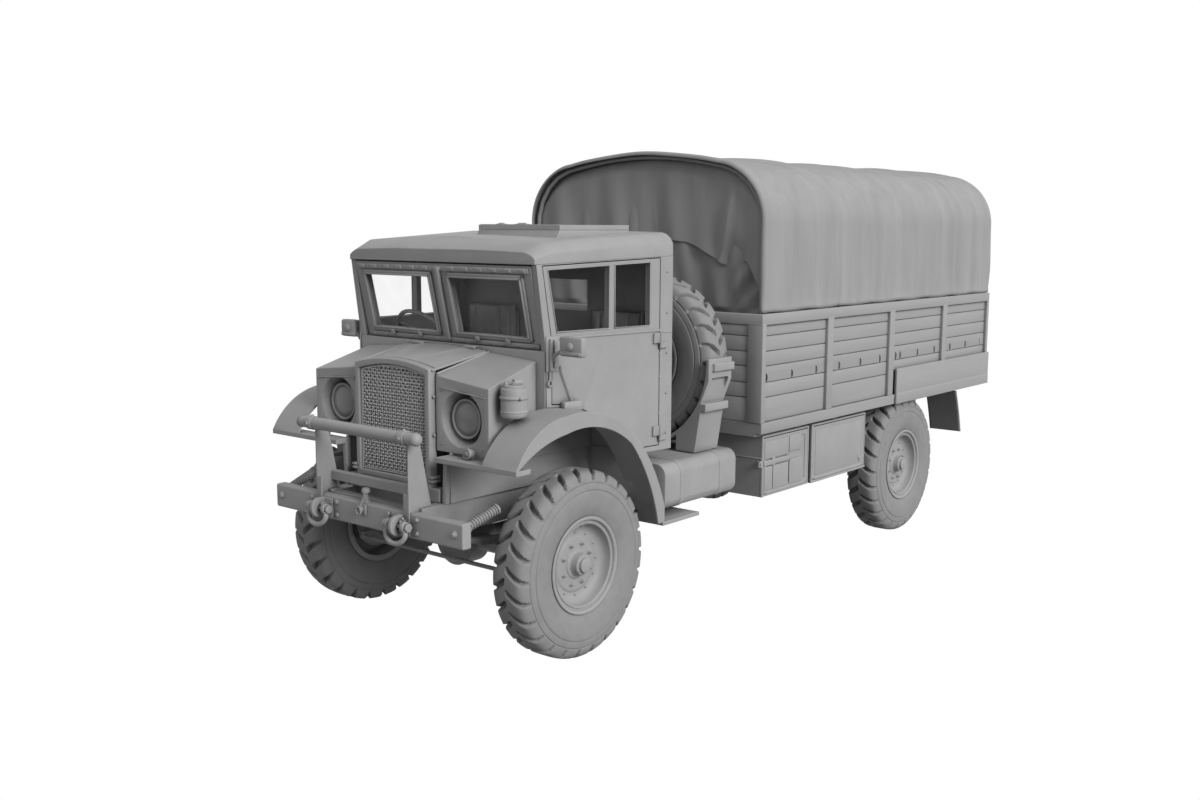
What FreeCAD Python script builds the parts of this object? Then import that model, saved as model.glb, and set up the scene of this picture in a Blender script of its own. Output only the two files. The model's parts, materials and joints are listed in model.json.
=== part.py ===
"""A forward-control four-wheel-drive military cargo truck with a canvas canopy.

Millimetres, +Z up. The truck faces -Y and its left side is +X. The origin lies on the ground
under the middle of the truck. Every size below goes into the sheet, and each sub-part is an
object whose measures are bound to the sheet's cells.
"""
import FreeCAD
import Part
import Sketcher
import math
import os
from types import SimpleNamespace
from FreeCAD import Placement, Rotation, Vector

SIZES = {
    # running gear
    "front_axle_place": -2330,
    "wheelbase": 4020,
    "tyre_radius": 550,
    "track_half": 889,
    "tyre_half": 135,
    "casing_radius": 519,
    "shoulder_place": 110,
    "sidewall_radius": 425,
    "bead_radius": 263,
    "lug_wide": 64,
    "lug_inner": 16,
    "lug_foot_radius": 452,
    "lug_foot_place": 134,
    "lug_tip_place": 124,
    "rim_flange_radius": 284,
    "rim_flange_thick": 13,
    "rim_base_radius": 262,
    "rim_wall": 13,
    "rim_half": 118,
    "dish_place": 32,
    "dish_radius": 172,
    "dish_rise": 30,
    "dish_thick": 12,
    "hub_radius": 62,
    "hub_place": 96,
    "cap_radius": 46,
    "cap_place": 120,
    "drum_radius": 174,
    "drum_place": 70,
    "spindle_radius": 35,
    "spindle_end": 10,
    "fit_gap": 0.3,
    "panel_gap": 1.2,
    "running_gap": 5,
    "overrun": 10,
    # axles and steering
    "axle_tube_radius": 52,
    "banjo_radius": 160,
    "banjo_half": 78,
    "banjo_cover_depth": 42,
    "banjo_cover_radius": 96,
    "pinion_long": 170,
    "pinion_radius": 82,
    "pinion_end_radius": 46,
    "kingpin_place": 720,
    "kingpin_radius": 14,
    "barrel_radius": 42,
    "barrel_half": 55,
    "yoke_half": 100,
    "yoke_arm_thick": 38,
    "yoke_web_place": 600,
    "yoke_web_thick": 40,
    "yoke_wide_half": 46,
    "backplate_radius": 186,
    "backplate_thick": 10,
    "steer_arm_long": 200,
    "steer_arm_wide": 40,
    "steer_arm_thick": 20,
    "steer_arm_drop": 40,
    "steer_pin_radius": 9,
    "steer_pin_long": 46,
    "tie_rod_radius": 13,
    "tie_eye_radius": 24,
    "tie_eye_half": 14,
    "spring_place": 400,
    "spring_wide": 60,
    "spring_curve": 2250,
    "leaf_thick": 13,
    "leaf_step": 120,
    "front_spring_half": 540,
    "rear_spring_half": 600,
    "hanger_long": 60,
    # chassis frame
    "frame_front": -3054,
    "frame_rear": 3100,
    "rail_out": 430,
    "rail_low": 740,
    "rail_high": 920,
    "rail_flange": 65,
    "rail_wall": 9,
    "cross_wide": 70,
    "cross_low": 790,
    "cross_wall": 9,
    "engine_bearer_low": 756,
    "engine_bearer_high": 800,
    "cab_mount_front": -2300,
    "cab_mount_rear": -1560,
    # bumper and guard
    "bumper_half": 817,
    "bumper_front": -3120,
    "bumper_low": 763,
    "bumper_high": 906,
    "bumper_wall": 12,
    "bumper_corner": 14,
    "guard_place": -3150,
    "guard_height": 1330,
    "guard_radius": 35,
    "guard_half": 500,
    "guard_post_out": 406,
    "guard_post_wide": 46,
    "guard_post_thick": 10,
    "guard_strip_high": 1010,
    "guard_gusset_low": 165,
    "guard_gusset_high": 80,
    "cross_bar_low": 975,
    "cross_bar_high": 1027,
    "cross_bar_place": -3028,
    "cross_bar_deep": 48,
    # nose
    "grille_front": -2895,
    "grille_deep": 60,
    "grille_low": 1000,
    "grille_half": 322,
    "grille_shoulder": 1676,
    "grille_rise": 41,
    "grille_band": 37,
    "mesh_recess": 14,
    "mesh_wire": 6,
    "mesh_pitch": 42,
    "mesh_border": 14,
    "radiator_half": 275,
    "radiator_front": -2820,
    "radiator_deep": 70,
    "radiator_high": 1610,
    "radiator_tank": 90,
    "nose_front": -2850,
    "nose_inner": 330,
    "nose_inner_rear": 358,
    "nose_outer": 751,
    "nose_outer_rear": 728,
    "nose_low": 1212,
    "nose_top_outer": 1597,
    "nose_top_inner": 1642,
    "nose_rear_outer": 1716,
    "nose_rear_inner": 1744,
    "lamp_place": 537,
    "lamp_height": 1408,
    "lamp_radius": 114,
    "lamp_deep": 62,
    "lamp_dome": 26,
    "lens_front_radius": 62,
    "lens_rear_radius": 107,
    "recess_radius": 160,
    "recess_floor_radius": 120,
    "recess_deep": 112,
    "bonnet_half": 322,
    "bonnet_half_rear": 350,
    "bonnet_front_height": 1676,
    "bonnet_rear_height": 1752,
    "bonnet_rise_rear": 18,
    "bonnet_thick": 12,
    "bonnet_hinge_radius": 8,
    "bonnet_hinge_half": 270,
    "bonnet_hinge_long": 90,
    "air_cleaner_radius": 75,
    "air_cleaner_place": -2735,
    "air_cleaner_low": 1438,
    "air_cleaner_high": 1605,
    "air_cleaner_stand": 12,
    "cleaner_band_high": 14,
    "cleaner_band_proud": 6,
    "cleaner_band_drop": 62,
    "cleaner_lid_radius": 56,
    "cleaner_lid_high": 12,
    "cleaner_knob_radius": 14,
    "cleaner_knob_high": 20,
    # cab
    "cab_rear": -1404,
    "cab_front": -2527,
    "cab_rear_half": 916,
    "cab_front_half": 795.5,
    "cab_wall": 40,
    "cab_low": 1098,
    "eaves_rear": 2296,
    "eaves_front": 2262,
    "cowl_front": -2445,
    "cowl_wall": 40,
    "cowl_high": 1775,
    "screen_foot": -2410,
    "screen_head": -2520,
    "screen_wall": 45,
    "pane_inner": 78,
    "pane_outer": 675,
    "pane_low": 62,
    "pane_high": 422,
    "glass_thick": 6,
    "arch_floor": 1300,
    "arch_inner": 460,
    "arch_rear": -1650,
    "sheet": 20,
    "floor_height": 1100,
    "floor_thick": 30,
    "engine_cover_half": 310,
    "engine_cover_high": 1480,
    "engine_cover_rear": -1760,
    "rear_window_half": 250,
    "rear_window_low": 1930,
    "rear_window_high": 2130,
    "wall_thick": 30,
    "roof_shoulder_wide": 100,
    "roof_front_side": 30,
    "roof_front_shoulder": 38,
    "roof_front_rise": 12,
    "roof_brow_place": 120,
    "roof_brow_side": 58,
    "roof_brow_shoulder": 64,
    "roof_brow_rise": 24,
    "roof_rear_side": 75,
    "roof_rear_shoulder": 70,
    "roof_rear_rise": 8,
    "roof_skin": 26,
    "hatch_inner": -50,
    "hatch_outer": 620,
    "hatch_front": -2120,
    "hatch_rear": -1470,
    "hatch_coaming": 28,
    "hatch_coaming_low": 2370,
    "hatch_coaming_high": 2452,
    "hatch_slope": 40,
    "hatch_lid_thick": 30,
    "hatch_hinge_radius": 9,
    "hatch_hinge_long": 80,
    # doors, measured forward from the cab's rear corner
    "door_rear": 116,
    "door_front_high": 1070,
    "door_front_belt": 1000,
    "door_front_low": 1000,
    "door_low": 1134,
    "door_high_rear": 2284,
    "door_high_front": 2252,
    "door_gap": 6,
    "door_sill": 20,
    "belt_height": 1828,
    "window_rear": 204,
    "window_front_low": 966,
    "window_front_high": 1036,
    "window_low": 1880,
    "window_high_rear": 2262,
    "window_high_front": 2234,
    "window_bar_place": 506,
    "window_bar_wide": 46,
    "door_hinge_radius": 12,
    "door_hinge_high": 60,
    "door_hinge_out": 16,
    "door_lug_high": 32,
    # fenders and steps
    "fender_outer": 1060,
    "fender_inner": 800,
    "fender_skin": 14,
    "fender_foot_inner": 862,
    "fender_foot_height": 1000,
    "beak_place": -2960,
    "beak_height": 1195,
    "beak_lip": 1184,
    "crease_front_place": -2560,
    "crease_front_height": 1446,
    "crease_front_radius": 470,
    "crease_rear_place": -1888,
    "crease_rear_height": 1204,
    "crease_mid_radius": 760,
    "fender_foot_place": -1654,
    "fender_foot_low": 783,
    "crease_rear_radius": 1150,
    "opening_front_place": -2556,
    "opening_front_height": 1347,
    "opening_front_radius": 820,
    "opening_rear_place": -1979,
    "opening_rear_height": 1217,
    "opening_mid_radius": 680,
    "opening_foot_place": -1715,
    "opening_rear_radius": 1150,
    "step_rear": -1288,
    "step_height": 690,
    "step_thick": 22,
    "step_inner": 700,
    # tanks and lockers
    "tank_front": -1570,
    "tank_rear": -790,
    "tank_inner": 500,
    "tank_outer": 1000,
    "tank_low": 730,
    "tank_high": 1020,
    "tank_corner": 70,
    "strap_wide": 40,
    "strap_thick": 5,
    "strap_inset": 155,
    "locker_front": -495,
    "locker_rear": 980,
    "locker_split": 170,
    "locker_gap": 40,
    "locker_gap_deep": 60,
    "locker_inner": 560,
    "locker_outer": 1020,
    "locker_low": 640,
    "locker_high": 1066,
    "locker_wall": 16,
    "locker_door_thick": 18,
    "locker_door_sunk": 6,
    "locker_frame": 34,
    # cargo body
    "body_half": 1060,
    "body_front": -575,
    "body_rear": 3180,
    "bed_low": 1089,
    "bed_rail": 76,
    "bed_rail_wide": 50,
    "deck_thick": 32,
    "deck_board": 20,
    "board_gap": 2,
    "side_wall": 34,
    "side_high": 1900,
    "top_rail": 75,
    "post_front_place": 293,
    "post_second_place": 1262,
    "post_third_place": 2225,
    "post_wide": 82,
    "corner_post_wide": 40,
    "head_board_wide": 120,
    "head_board_proud": 8,
    "post_proud": 26,
    "plank_height": 104,
    "plank_groove": 8,
    "plank_depth": 5,
    "bearer_wide": 80,
    "runner_place": 348,
    "runner_high": 146.5,
    "wheel_bearer_half": 690,
    "wheel_bearer_reach": 660,
    "valance_front": 1376,
    "valance_high": 1370,
    "valance_thick": 18,
    "tailgate_thick": 34,
    "tailgate_gap": 6,
    "mudflap_place": 2640,
    "mudflap_foot_place": 2770,
    "mudflap_high": 1066.5,
    "mudflap_low": 690,
    "mudflap_inner": 734,
    "mudflap_thick": 14,
    # canopy
    "canopy_half": 1046,
    "canopy_haunch": 2480,
    "canopy_corner_place": 660,
    "canopy_corner_height": 2922,
    "canopy_corner_radius": 420,
    "canopy_crown": 72,
    "canopy_skin": 22,
    "canopy_recess": 110,
    # spare wheel
    "spare_place": -970,
    "spare_side": 435,
    "spare_height": 1606,
    "cradle_thick": 22,
    "cradle_front": -1132,
    "cradle_rear": -872,
    "cradle_top": 1640,
    "cradle_shoulder": 1500,
    "cradle_waist": 1350,
    "cradle_flange": 50,
    "cradle_flange_out": 40,
    "cradle_foot_inner": 320,
    "cradle_foot_outer": 470,
    "cradle_window_low": 1385,
    "cradle_window_high": 1515,
    "cradle_window_side": 38,
    "cradle_window_deep": 30,
    "cradle_grip_high": 1560,
    # inside the cab
    "engine_half": 255,
    "engine_front": -2640,
    "engine_rear": -1800,
    "engine_high": 1430,
    "seat_inner": 340,
    "seat_pedestal_inner": 500,
    "seat_pedestal_front": -2040,
    "seat_outer": 770,
    "seat_front": -2080,
    "seat_rear": -1560,
    "seat_low": 1360,
    "seat_cushion": 130,
    "seat_back_high": 1960,
    "seat_back_thick": 110,
    "dash_rear": -2290,
    "dash_low": 1640,
    "dash_high": 1755,
    "wheel_hub_place": -2150,
    "wheel_hub_side": -500,
    "wheel_hub_height": 1770,
    "steer_wheel_radius": 215,
    "steer_rim_radius": 13,
    "steer_spoke_radius": 9,
    "column_lean": 40,
    "column_radius": 22,
    # driveline and exhaust
    "transfer_half": 170,
    "transfer_front": -700,
    "transfer_rear": -340,
    "transfer_low": 500,
    "shaft_radius": 38,
    "muffler_radius": 80,
    "muffler_place": -250,
    "muffler_front": -300,
    "muffler_rear": 500,
    "muffler_height": 690,
    "tailpipe_radius": 24,
    "tailpipe_end": 2300,
    # tow fittings and lamps
    "shackle_place": 345,
    "shackle_thick": 24,
    "shackle_wide": 90,
    "shackle_pad_long": 95,
    "shackle_pad_thick": 12,
    "shackle_bore": 18,
    "pintle_long": 75,
    "pintle_radius": 32,
    "tail_lamp_radius": 48,
    "tail_lamp_deep": 26,
    "tail_lamp_place": 900,
}
TYRE_SIDES = 18
LEAF_COUNT = 4
PLANK_COUNT = 6
BEARER_COUNT = 8
SPOKE_COUNT = 3


class Size:
    """A measure that carries its number and the sheet formula that it comes from."""

    def __init__(self, number, formula):
        self.number = float(number)
        self.formula = formula

    def __add__(self, other):
        other = lift(other)
        return Size(self.number + other.number, "(%s + %s)" % (self.formula, other.formula))

    def __sub__(self, other):
        other = lift(other)
        return Size(self.number - other.number, "(%s - %s)" % (self.formula, other.formula))

    def __mul__(self, other):
        other = lift(other)
        return Size(self.number * other.number, "(%s * %s)" % (self.formula, other.formula))

    def __truediv__(self, other):
        other = lift(other)
        return Size(self.number / other.number, "(%s / %s)" % (self.formula, other.formula))

    def __neg__(self):
        return Size(-self.number, "(-%s)" % self.formula)

    def __radd__(self, other):
        return lift(other) + self

    def __rsub__(self, other):
        return lift(other) - self

    def __rmul__(self, other):
        return lift(other) * self


def lift(value):
    """A plain number as a Size."""
    return value if isinstance(value, Size) else Size(value, "(%r)" % float(value))


def root(size):
    """The square root of a Size."""
    return Size(math.sqrt(size.number), "sqrt(%s)" % size.formula)


def slope_angle(rise, run):
    """The angle, in degrees, whose tangent is rise over run."""
    degrees = math.degrees(math.atan2(rise.number, run.number))
    return Size(degrees, "atan(%s / %s)" % (rise.formula, run.formula))


def crown_radius(half_chord, rise):
    """The radius of the arc that rises by rise over twice half_chord."""
    return (half_chord * half_chord + rise * rise) / (2 * rise)


doc = FreeCAD.newDocument("CargoTruck")
sheet = doc.addObject("Spreadsheet::Sheet", "Sizes")
for row, (word, number) in enumerate(SIZES.items(), start=1):
    sheet.set("A%d" % row, word)
    sheet.set("B%d" % row, str(number))
    sheet.setAlias("B%d" % row, word)
doc.recompute()
S = SimpleNamespace(**{word: Size(number, "Sizes." + word) for word, number in SIZES.items()})
PIECES = {}

# The way each kind of outline lies: its turn from the ground plane and its normal.
OUTLINES = {
    "XY": (Rotation(), Vector(0, 0, 1), "z"),
    "XZ": (Rotation(Vector(1, 0, 0), 90), Vector(0, 1, 0), "y"),
    "YZ": (Rotation(Vector(1, 1, 1), 120), Vector(1, 0, 0), "x"),
}
FACING = {
    "X": Rotation(Vector(0, 1, 0), 90),
    "Y": Rotation(Vector(1, 0, 0), -90),
    "Z": Rotation(),
}


def bind(item, prop, size):
    """Ties one property of an object to the sheet."""
    item.setExpression(prop, lift(size).formula)


def place(item, x=0, y=0, z=0):
    """Puts an object's own origin at a place worked out from the sheet."""
    for letter, size in zip("xyz", (x, y, z)):
        bind(item, "Placement.Base." + letter, size)
    return item


def lean(item, axis, angle):
    """Turns an object about its own origin by an angle worked out from the sheet."""
    item.Placement = Placement(item.Placement.Base, Rotation(axis, lift(angle).number))
    bind(item, "Placement.Rotation.Angle", angle)
    return item


def block(name, low, high):
    """A box between two corners."""
    item = doc.addObject("Part::Box", name)
    for prop, start, end in zip(("Length", "Width", "Height"), low, high):
        bind(item, prop, lift(end) - lift(start))
    return place(item, *low)


def rod(name, along, start, long, radius):
    """A round bar that starts at a point and runs along one axis."""
    item = doc.addObject("Part::Cylinder", name)
    item.Placement = Placement(Vector(), FACING[along])
    bind(item, "Radius", radius)
    bind(item, "Height", long)
    return place(item, *start)


def taper(name, along, start, long, start_radius, end_radius):
    """A round bar whose radius changes along its length."""
    item = doc.addObject("Part::Cone", name)
    item.Placement = Placement(Vector(), FACING[along])
    bind(item, "Radius1", start_radius)
    bind(item, "Radius2", end_radius)
    bind(item, "Height", long)
    return place(item, *start)


def strut(name, start, end, radius):
    """A round bar between two points."""
    item = doc.addObject("Part::Cylinder", name)
    spans = [lift(b) - lift(a) for a, b in zip(start, end)]
    item.Placement = Placement(Vector(), Rotation(Vector(0, 0, 1), Vector(*[s.number for s in spans])))
    bind(item, "Radius", radius)
    bind(item, "Height", root(spans[0] * spans[0] + spans[1] * spans[1] + spans[2] * spans[2]))
    return place(item, *start)


def loop_edges(points, first):
    """Edges and constraints of one closed outline.

    A point is (u, v), or (u, v, radius) where an arc ends: a positive radius has its centre
    on the left of the way round, a negative one on the right.
    """
    edges = []
    constraints = []
    bonds = []
    count = len(points)
    ends = []
    for index in range(count):
        start = points[index]
        end = points[(index + 1) % count]
        head = Vector(lift(start[0]).number, lift(start[1]).number, 0)
        tail = Vector(lift(end[0]).number, lift(end[1]).number, 0)
        bend = end[2] if len(end) > 2 else None
        if bend is None:
            edges.append(Part.LineSegment(head, tail))
            ends.append((1, 2))
            continue
        radius = bend.number
        chord = tail - head
        side = Vector(-chord.y, chord.x, 0) / chord.Length
        reach = math.sqrt(radius * radius - chord.Length ** 2 / 4)
        centre = (head + tail) / 2 + side * math.copysign(reach, radius)
        if radius > 0:
            first_point, last_point = head, tail
            ends.append((1, 2))
        else:
            first_point, last_point = tail, head
            ends.append((2, 1))
        angles = [math.atan2(p.y - centre.y, p.x - centre.x) for p in (first_point, last_point)]
        circle = Part.Circle(centre, Vector(0, 0, 1), abs(radius))
        edges.append(Part.ArcOfCircle(circle, angles[0], angles[1]))
        constraints.append(("Radius", first + index, abs(radius)))
        bonds.append(bend if radius > 0 else -bend)
    for index in range(count):
        after = (index + 1) % count
        constraints.append(("Coincident", first + index, ends[index][1], first + after, ends[after][0]))
        bonds.append(None)
        for kind, size in zip(("DistanceX", "DistanceY"), points[index]):
            size = lift(size)
            constraints.append((kind, -1, 1, first + index, ends[index][0], size.number))
            bonds.append(size)
    return edges, constraints, bonds


def outline(name, plane, level, points, holes=()):
    """A sketch of one closed outline, with holes, at a level along its plane's normal."""
    rotation, _, letter = OUTLINES[plane]
    sketch = doc.addObject("Sketcher::SketchObject", name)
    sketch.Placement = Placement(Vector(), rotation)
    bind(sketch, "Placement.Base." + letter, level)
    edges, constraints, bonds = [], [], []
    for ring in (points,) + tuple(holes):
        more = loop_edges(ring, len(edges))
        edges += more[0]
        constraints += more[1]
        bonds += more[2]
    sketch.addGeometry(edges, False)
    sketch.addConstraint([Sketcher.Constraint(*entry) for entry in constraints])
    for index, size in enumerate(bonds):
        if size is not None:
            bind(sketch, "Constraints[%d]" % index, size)
    return sketch


def prism(name, plane, level, long, points, holes=()):
    """An outline drawn out along its normal."""
    item = doc.addObject("Part::Extrusion", name)
    item.Base = outline(name + "_outline", plane, level, points, holes)
    item.DirMode = "Custom"
    item.Dir = OUTLINES[plane][1]
    item.Solid = True
    item.FaceMakerClass = "Part::FaceMakerBullseye"
    bind(item, "LengthFwd", long)
    return item


def turned(name, points):
    """An outline of (along, radius) points turned about the X axis."""
    item = doc.addObject("Part::Revolution", name)
    item.Source = outline(name + "_outline", "XZ", 0, points)
    item.Axis = Vector(1, 0, 0)
    item.Angle = 360
    item.Solid = True
    return item


def loft(name, plane, sections, ruled=True):
    """A solid through outlines at several levels."""
    item = doc.addObject("Part::Loft", name)
    item.Sections = [
        outline("%s_section_%d" % (name, index), plane, level, points)
        for index, (level, points) in enumerate(sections)
    ]
    item.Solid = True
    item.Ruled = ruled
    return item


def join(name, *items):
    """One solid from pieces that touch or overlap."""
    item = doc.addObject("Part::MultiFuse", name)
    item.Shapes = list(items)
    item.Refine = True
    return item


def cut(name, base, *tools):
    """A piece less one tool or several."""
    item = doc.addObject("Part::Cut", name)
    item.Base = base
    item.Tool = tools[0] if len(tools) == 1 else gathered(name + "_tools", *tools)
    item.Refine = True
    return item


def gathered(name, *items):
    """Several solids held as one object."""
    item = doc.addObject("Part::Compound", name)
    item.Links = list(items)
    return item


def mirrored(name, source):
    """The same piece on the other side of the truck's centre line."""
    item = doc.addObject("Part::Mirroring", name)
    item.Source = source
    item.Normal = Vector(1, 0, 0)
    item.Base = Vector(0, 0, 0)
    return item


def both(name, source):
    """A piece and its mirror image as one object of two solids."""
    return gathered(name, source, mirrored(name + "_other_side", source))


def keep(name, item):
    """Names a finished sub-part."""
    item.Label = name
    PIECES[name] = item
    return item


def rectangle(low_u, low_v, high_u, high_v):
    """The four corners of an upright rectangle."""
    return [(low_u, low_v), (high_u, low_v), (high_u, high_v), (low_u, high_v)]


REAR_AXLE = S.front_axle_place + S.wheelbase
TAPER = slope_angle(S.cab_rear_half - S.cab_front_half, S.cab_rear - S.cab_front)
SCREEN_LEAN = slope_angle(S.screen_foot - S.screen_head, S.eaves_front - S.cowl_high)


def crease_centre():
    """The centre, along and up, of the arc that the fender's crease follows over the wheel."""
    along = S.crease_rear_place - S.crease_front_place
    fall = S.crease_front_height - S.crease_rear_height
    chord = root(along * along + fall * fall)
    reach = root(S.crease_mid_radius * S.crease_mid_radius - chord * chord / 4)
    middle = (S.crease_front_place + S.crease_rear_place) / 2
    height = (S.crease_front_height + S.crease_rear_height) / 2
    return middle - reach * fall / chord, height - reach * along / chord


def above_crease(forward, gap):
    """A point that lies above the fender's crease by gap, forward of the cab's rear corner."""
    centre_place, centre_height = crease_centre()
    along = S.cab_rear - forward - centre_place
    radius = S.crease_mid_radius + gap
    return centre_height + root(radius * radius - along * along)


def crease_forward(height, gap):
    """How far forward of the cab's rear corner that line passes a height."""
    centre_place, centre_height = crease_centre()
    rise = height - centre_height
    radius = S.crease_mid_radius + gap
    return S.cab_rear - centre_place - root(radius * radius - rise * rise)


def tyre_ring(along, radius):
    """The corners of one regular polygon round the axle, a flat of it at the bottom."""
    step = 2 * math.pi / TYRE_SIDES
    reach = lift(radius).number / math.cos(step / 2)
    turns = [(index + 0.5) * step for index in range(TYRE_SIDES)]
    return [Vector(lift(along).number, reach * math.sin(a), -reach * math.cos(a)) for a in turns]


def make_casing():
    """The tyre's casing: a flat-sided ring through its bead, sidewall and shoulder stations."""
    seat_half = S.rim_half - S.rim_flange_thick - S.fit_gap
    half_section = [
        (seat_half, S.bead_radius),
        (seat_half, S.rim_flange_radius + S.fit_gap),
        (S.tyre_half, S.sidewall_radius),
        (S.shoulder_place, S.casing_radius),
    ]
    stations = half_section + [(-along, radius) for along, radius in reversed(half_section)]
    rings = [tyre_ring(along, radius) for along, radius in stations]
    faces = []
    for near, far in zip(rings, rings[1:] + rings[:1]):
        for index in range(TYRE_SIDES):
            after = (index + 1) % TYRE_SIDES
            corners = [near[index], near[after], far[after], far[index], near[index]]
            faces.append(Part.Face(Part.makePolygon(corners)))
    item = doc.addObject("Part::Feature", "casing")
    solid = Part.Solid(Part.Shell(faces))
    item.Shape = solid if solid.Volume > 0 else solid.reversed()
    return item


def make_tyre():
    """The casing with a ring of bars on each shoulder, centred on the origin."""
    ring = make_casing()
    bar_points = [
        (S.lug_inner, S.lug_foot_radius),
        (S.lug_foot_place, S.lug_foot_radius),
        (S.lug_tip_place, S.tyre_radius),
        (S.lug_inner, S.tyre_radius),
    ]
    bars = []
    bar_outline = outline("bar_outline", "XZ", -S.lug_wide / 2, bar_points)
    for index in range(TYRE_SIDES):
        bar = doc.addObject("Part::Extrusion", "bar_%d" % index)
        bar.Base = bar_outline
        bar.DirMode = "Custom"
        bar.Dir = Vector(0, 1, 0)
        bar.Solid = True
        bind(bar, "LengthFwd", S.lug_wide)
        bar.Placement = Placement(Vector(), Rotation(Vector(1, 0, 0), 360.0 * index / TYRE_SIDES))
        bars.append(bar)
    outer_bars = gathered("outer_bars", *bars)
    return join("tyre", ring, outer_bars, mirrored("inner_bars", outer_bars))


def make_wheel():
    """The rim, the dished disc, the hub with its cap and the brake drum, as one turning."""
    flange = S.rim_half - S.rim_flange_thick
    rim_inside = S.rim_base_radius - S.rim_wall
    return turned("wheel", [
        (S.cap_place, 0),
        (S.cap_place, S.cap_radius),
        (S.hub_place, S.hub_radius),
        (S.dish_place + S.dish_thick, S.hub_radius),
        (S.dish_place, S.dish_radius),
        (S.dish_place + S.dish_rise, rim_inside),
        (S.rim_half, rim_inside),
        (S.rim_half, S.rim_flange_radius),
        (flange, S.rim_flange_radius),
        (flange, S.rim_base_radius),
        (-flange, S.rim_base_radius),
        (-flange, S.rim_flange_radius),
        (-S.rim_half, S.rim_flange_radius),
        (-S.rim_half, rim_inside),
        (S.dish_place + S.dish_rise - S.dish_thick * 2, rim_inside),
        (S.dish_place - S.dish_thick * 2, S.drum_radius),
        (-S.drum_place, S.drum_radius),
        (-S.drum_place, S.spindle_radius + S.fit_gap),
        (-S.spindle_end, S.spindle_radius + S.fit_gap),
        (-S.spindle_end, 0),
    ])


def copy_at(name, source, rotation, x, y, z):
    """A copy of a piece, turned and moved to its place."""
    item = gathered(name, source)
    item.Placement = Placement(Vector(), rotation)
    return place(item, x, y, z)


def make_wheels():
    """Four road wheels and the spare, all from one tyre and one wheel."""
    tyre = make_tyre()
    wheel = make_wheel()
    for end, along in (("front", S.front_axle_place), ("rear", REAR_AXLE)):
        for side, sign, turn in (("left", 1, 0), ("right", -1, 180)):
            label = "%s_%s" % (end, side)
            rotation = Rotation(Vector(0, 0, 1), turn)
            at = (sign * S.track_half, along, S.tyre_radius)
            keep("tyre_" + label, copy_at("tyre_" + label, tyre, rotation, *at))
            keep("wheel_" + label, copy_at("wheel_" + label, wheel, rotation, *at))
    facing = Rotation(Vector(0, 0, 1), -90)
    at = (S.spare_side, S.spare_place, S.spare_height)
    keep("spare_tyre", copy_at("spare_tyre", tyre, facing, *at))
    keep("spare_wheel", copy_at("spare_wheel", wheel, facing, *at))


def banjo(name, along, pinion_way):
    """The round middle of an axle housing with its cover and its pinion nose."""
    centre = lift(along)
    drum = rod(name + "_drum", "Y", (0, centre - S.banjo_half, S.tyre_radius),
               2 * S.banjo_half, S.banjo_radius)
    cover_face = centre - pinion_way * S.banjo_half
    nose_face = centre + pinion_way * S.banjo_half
    if pinion_way > 0:
        cover = taper(name + "_cover", "Y", (0, cover_face - S.banjo_cover_depth, S.tyre_radius),
                      S.banjo_cover_depth, S.banjo_cover_radius, S.banjo_radius)
        nose = taper(name + "_nose", "Y", (0, nose_face, S.tyre_radius),
                     S.pinion_long, S.pinion_radius, S.pinion_end_radius)
    else:
        cover = taper(name + "_cover", "Y", (0, cover_face, S.tyre_radius),
                      S.banjo_cover_depth, S.banjo_radius, S.banjo_cover_radius)
        nose = taper(name + "_nose", "Y", (0, nose_face - S.pinion_long, S.tyre_radius),
                     S.pinion_long, S.pinion_end_radius, S.pinion_radius)
    return [drum, cover, nose]


def make_axles():
    """The two axle housings; the front one ends in yokes that hold the kingpins."""
    low = S.tyre_radius - S.yoke_half
    web_end = S.yoke_web_place + S.yoke_web_thick
    y_low = S.front_axle_place - S.yoke_wide_half
    y_high = S.front_axle_place + S.yoke_wide_half
    parts = [block("yoke_web", (S.yoke_web_place, y_low, low), (web_end, y_high, low + 2 * S.yoke_half))]
    for name, foot in (("low", low), ("high", S.tyre_radius + S.yoke_half - S.yoke_arm_thick)):
        parts.append(block("yoke_arm_" + name, (S.yoke_web_place, y_low, foot),
                           (S.kingpin_place, y_high, foot + S.yoke_arm_thick)))
        parts.append(rod("yoke_boss_" + name, "Z", (S.kingpin_place, S.front_axle_place, foot),
                         S.yoke_arm_thick, S.yoke_wide_half))
    bore = rod("kingpin_bore", "Z", (S.kingpin_place, S.front_axle_place, low - S.overrun),
               2 * (S.yoke_half + S.overrun), S.kingpin_radius + S.fit_gap)
    yoke = cut("yoke", join("yoke_whole", *parts), bore)
    tube = rod("front_tube", "X", (-S.yoke_web_place, S.front_axle_place, S.tyre_radius),
               2 * S.yoke_web_place, S.axle_tube_radius)
    keep("front_axle", join("front_axle", tube, yoke, mirrored("yoke_right", yoke),
                            *banjo("front_banjo", S.front_axle_place, 1)))
    plate_place = S.track_half - S.drum_place - S.running_gap - S.backplate_thick
    plate = rod("rear_backplate", "X", (plate_place, REAR_AXLE, S.tyre_radius),
                S.backplate_thick, S.backplate_radius)
    spindle = rod("rear_spindle", "X", (plate_place, REAR_AXLE, S.tyre_radius),
                  S.drum_place - S.spindle_end + S.running_gap, S.spindle_radius)
    end = join("rear_end", plate, spindle)
    tube = rod("rear_tube", "X", (-plate_place, REAR_AXLE, S.tyre_radius),
               2 * plate_place, S.axle_tube_radius)
    keep("rear_axle", join("rear_axle", tube, end, mirrored("rear_end_right", end),
                           *banjo("rear_banjo", REAR_AXLE, -1)))


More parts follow.
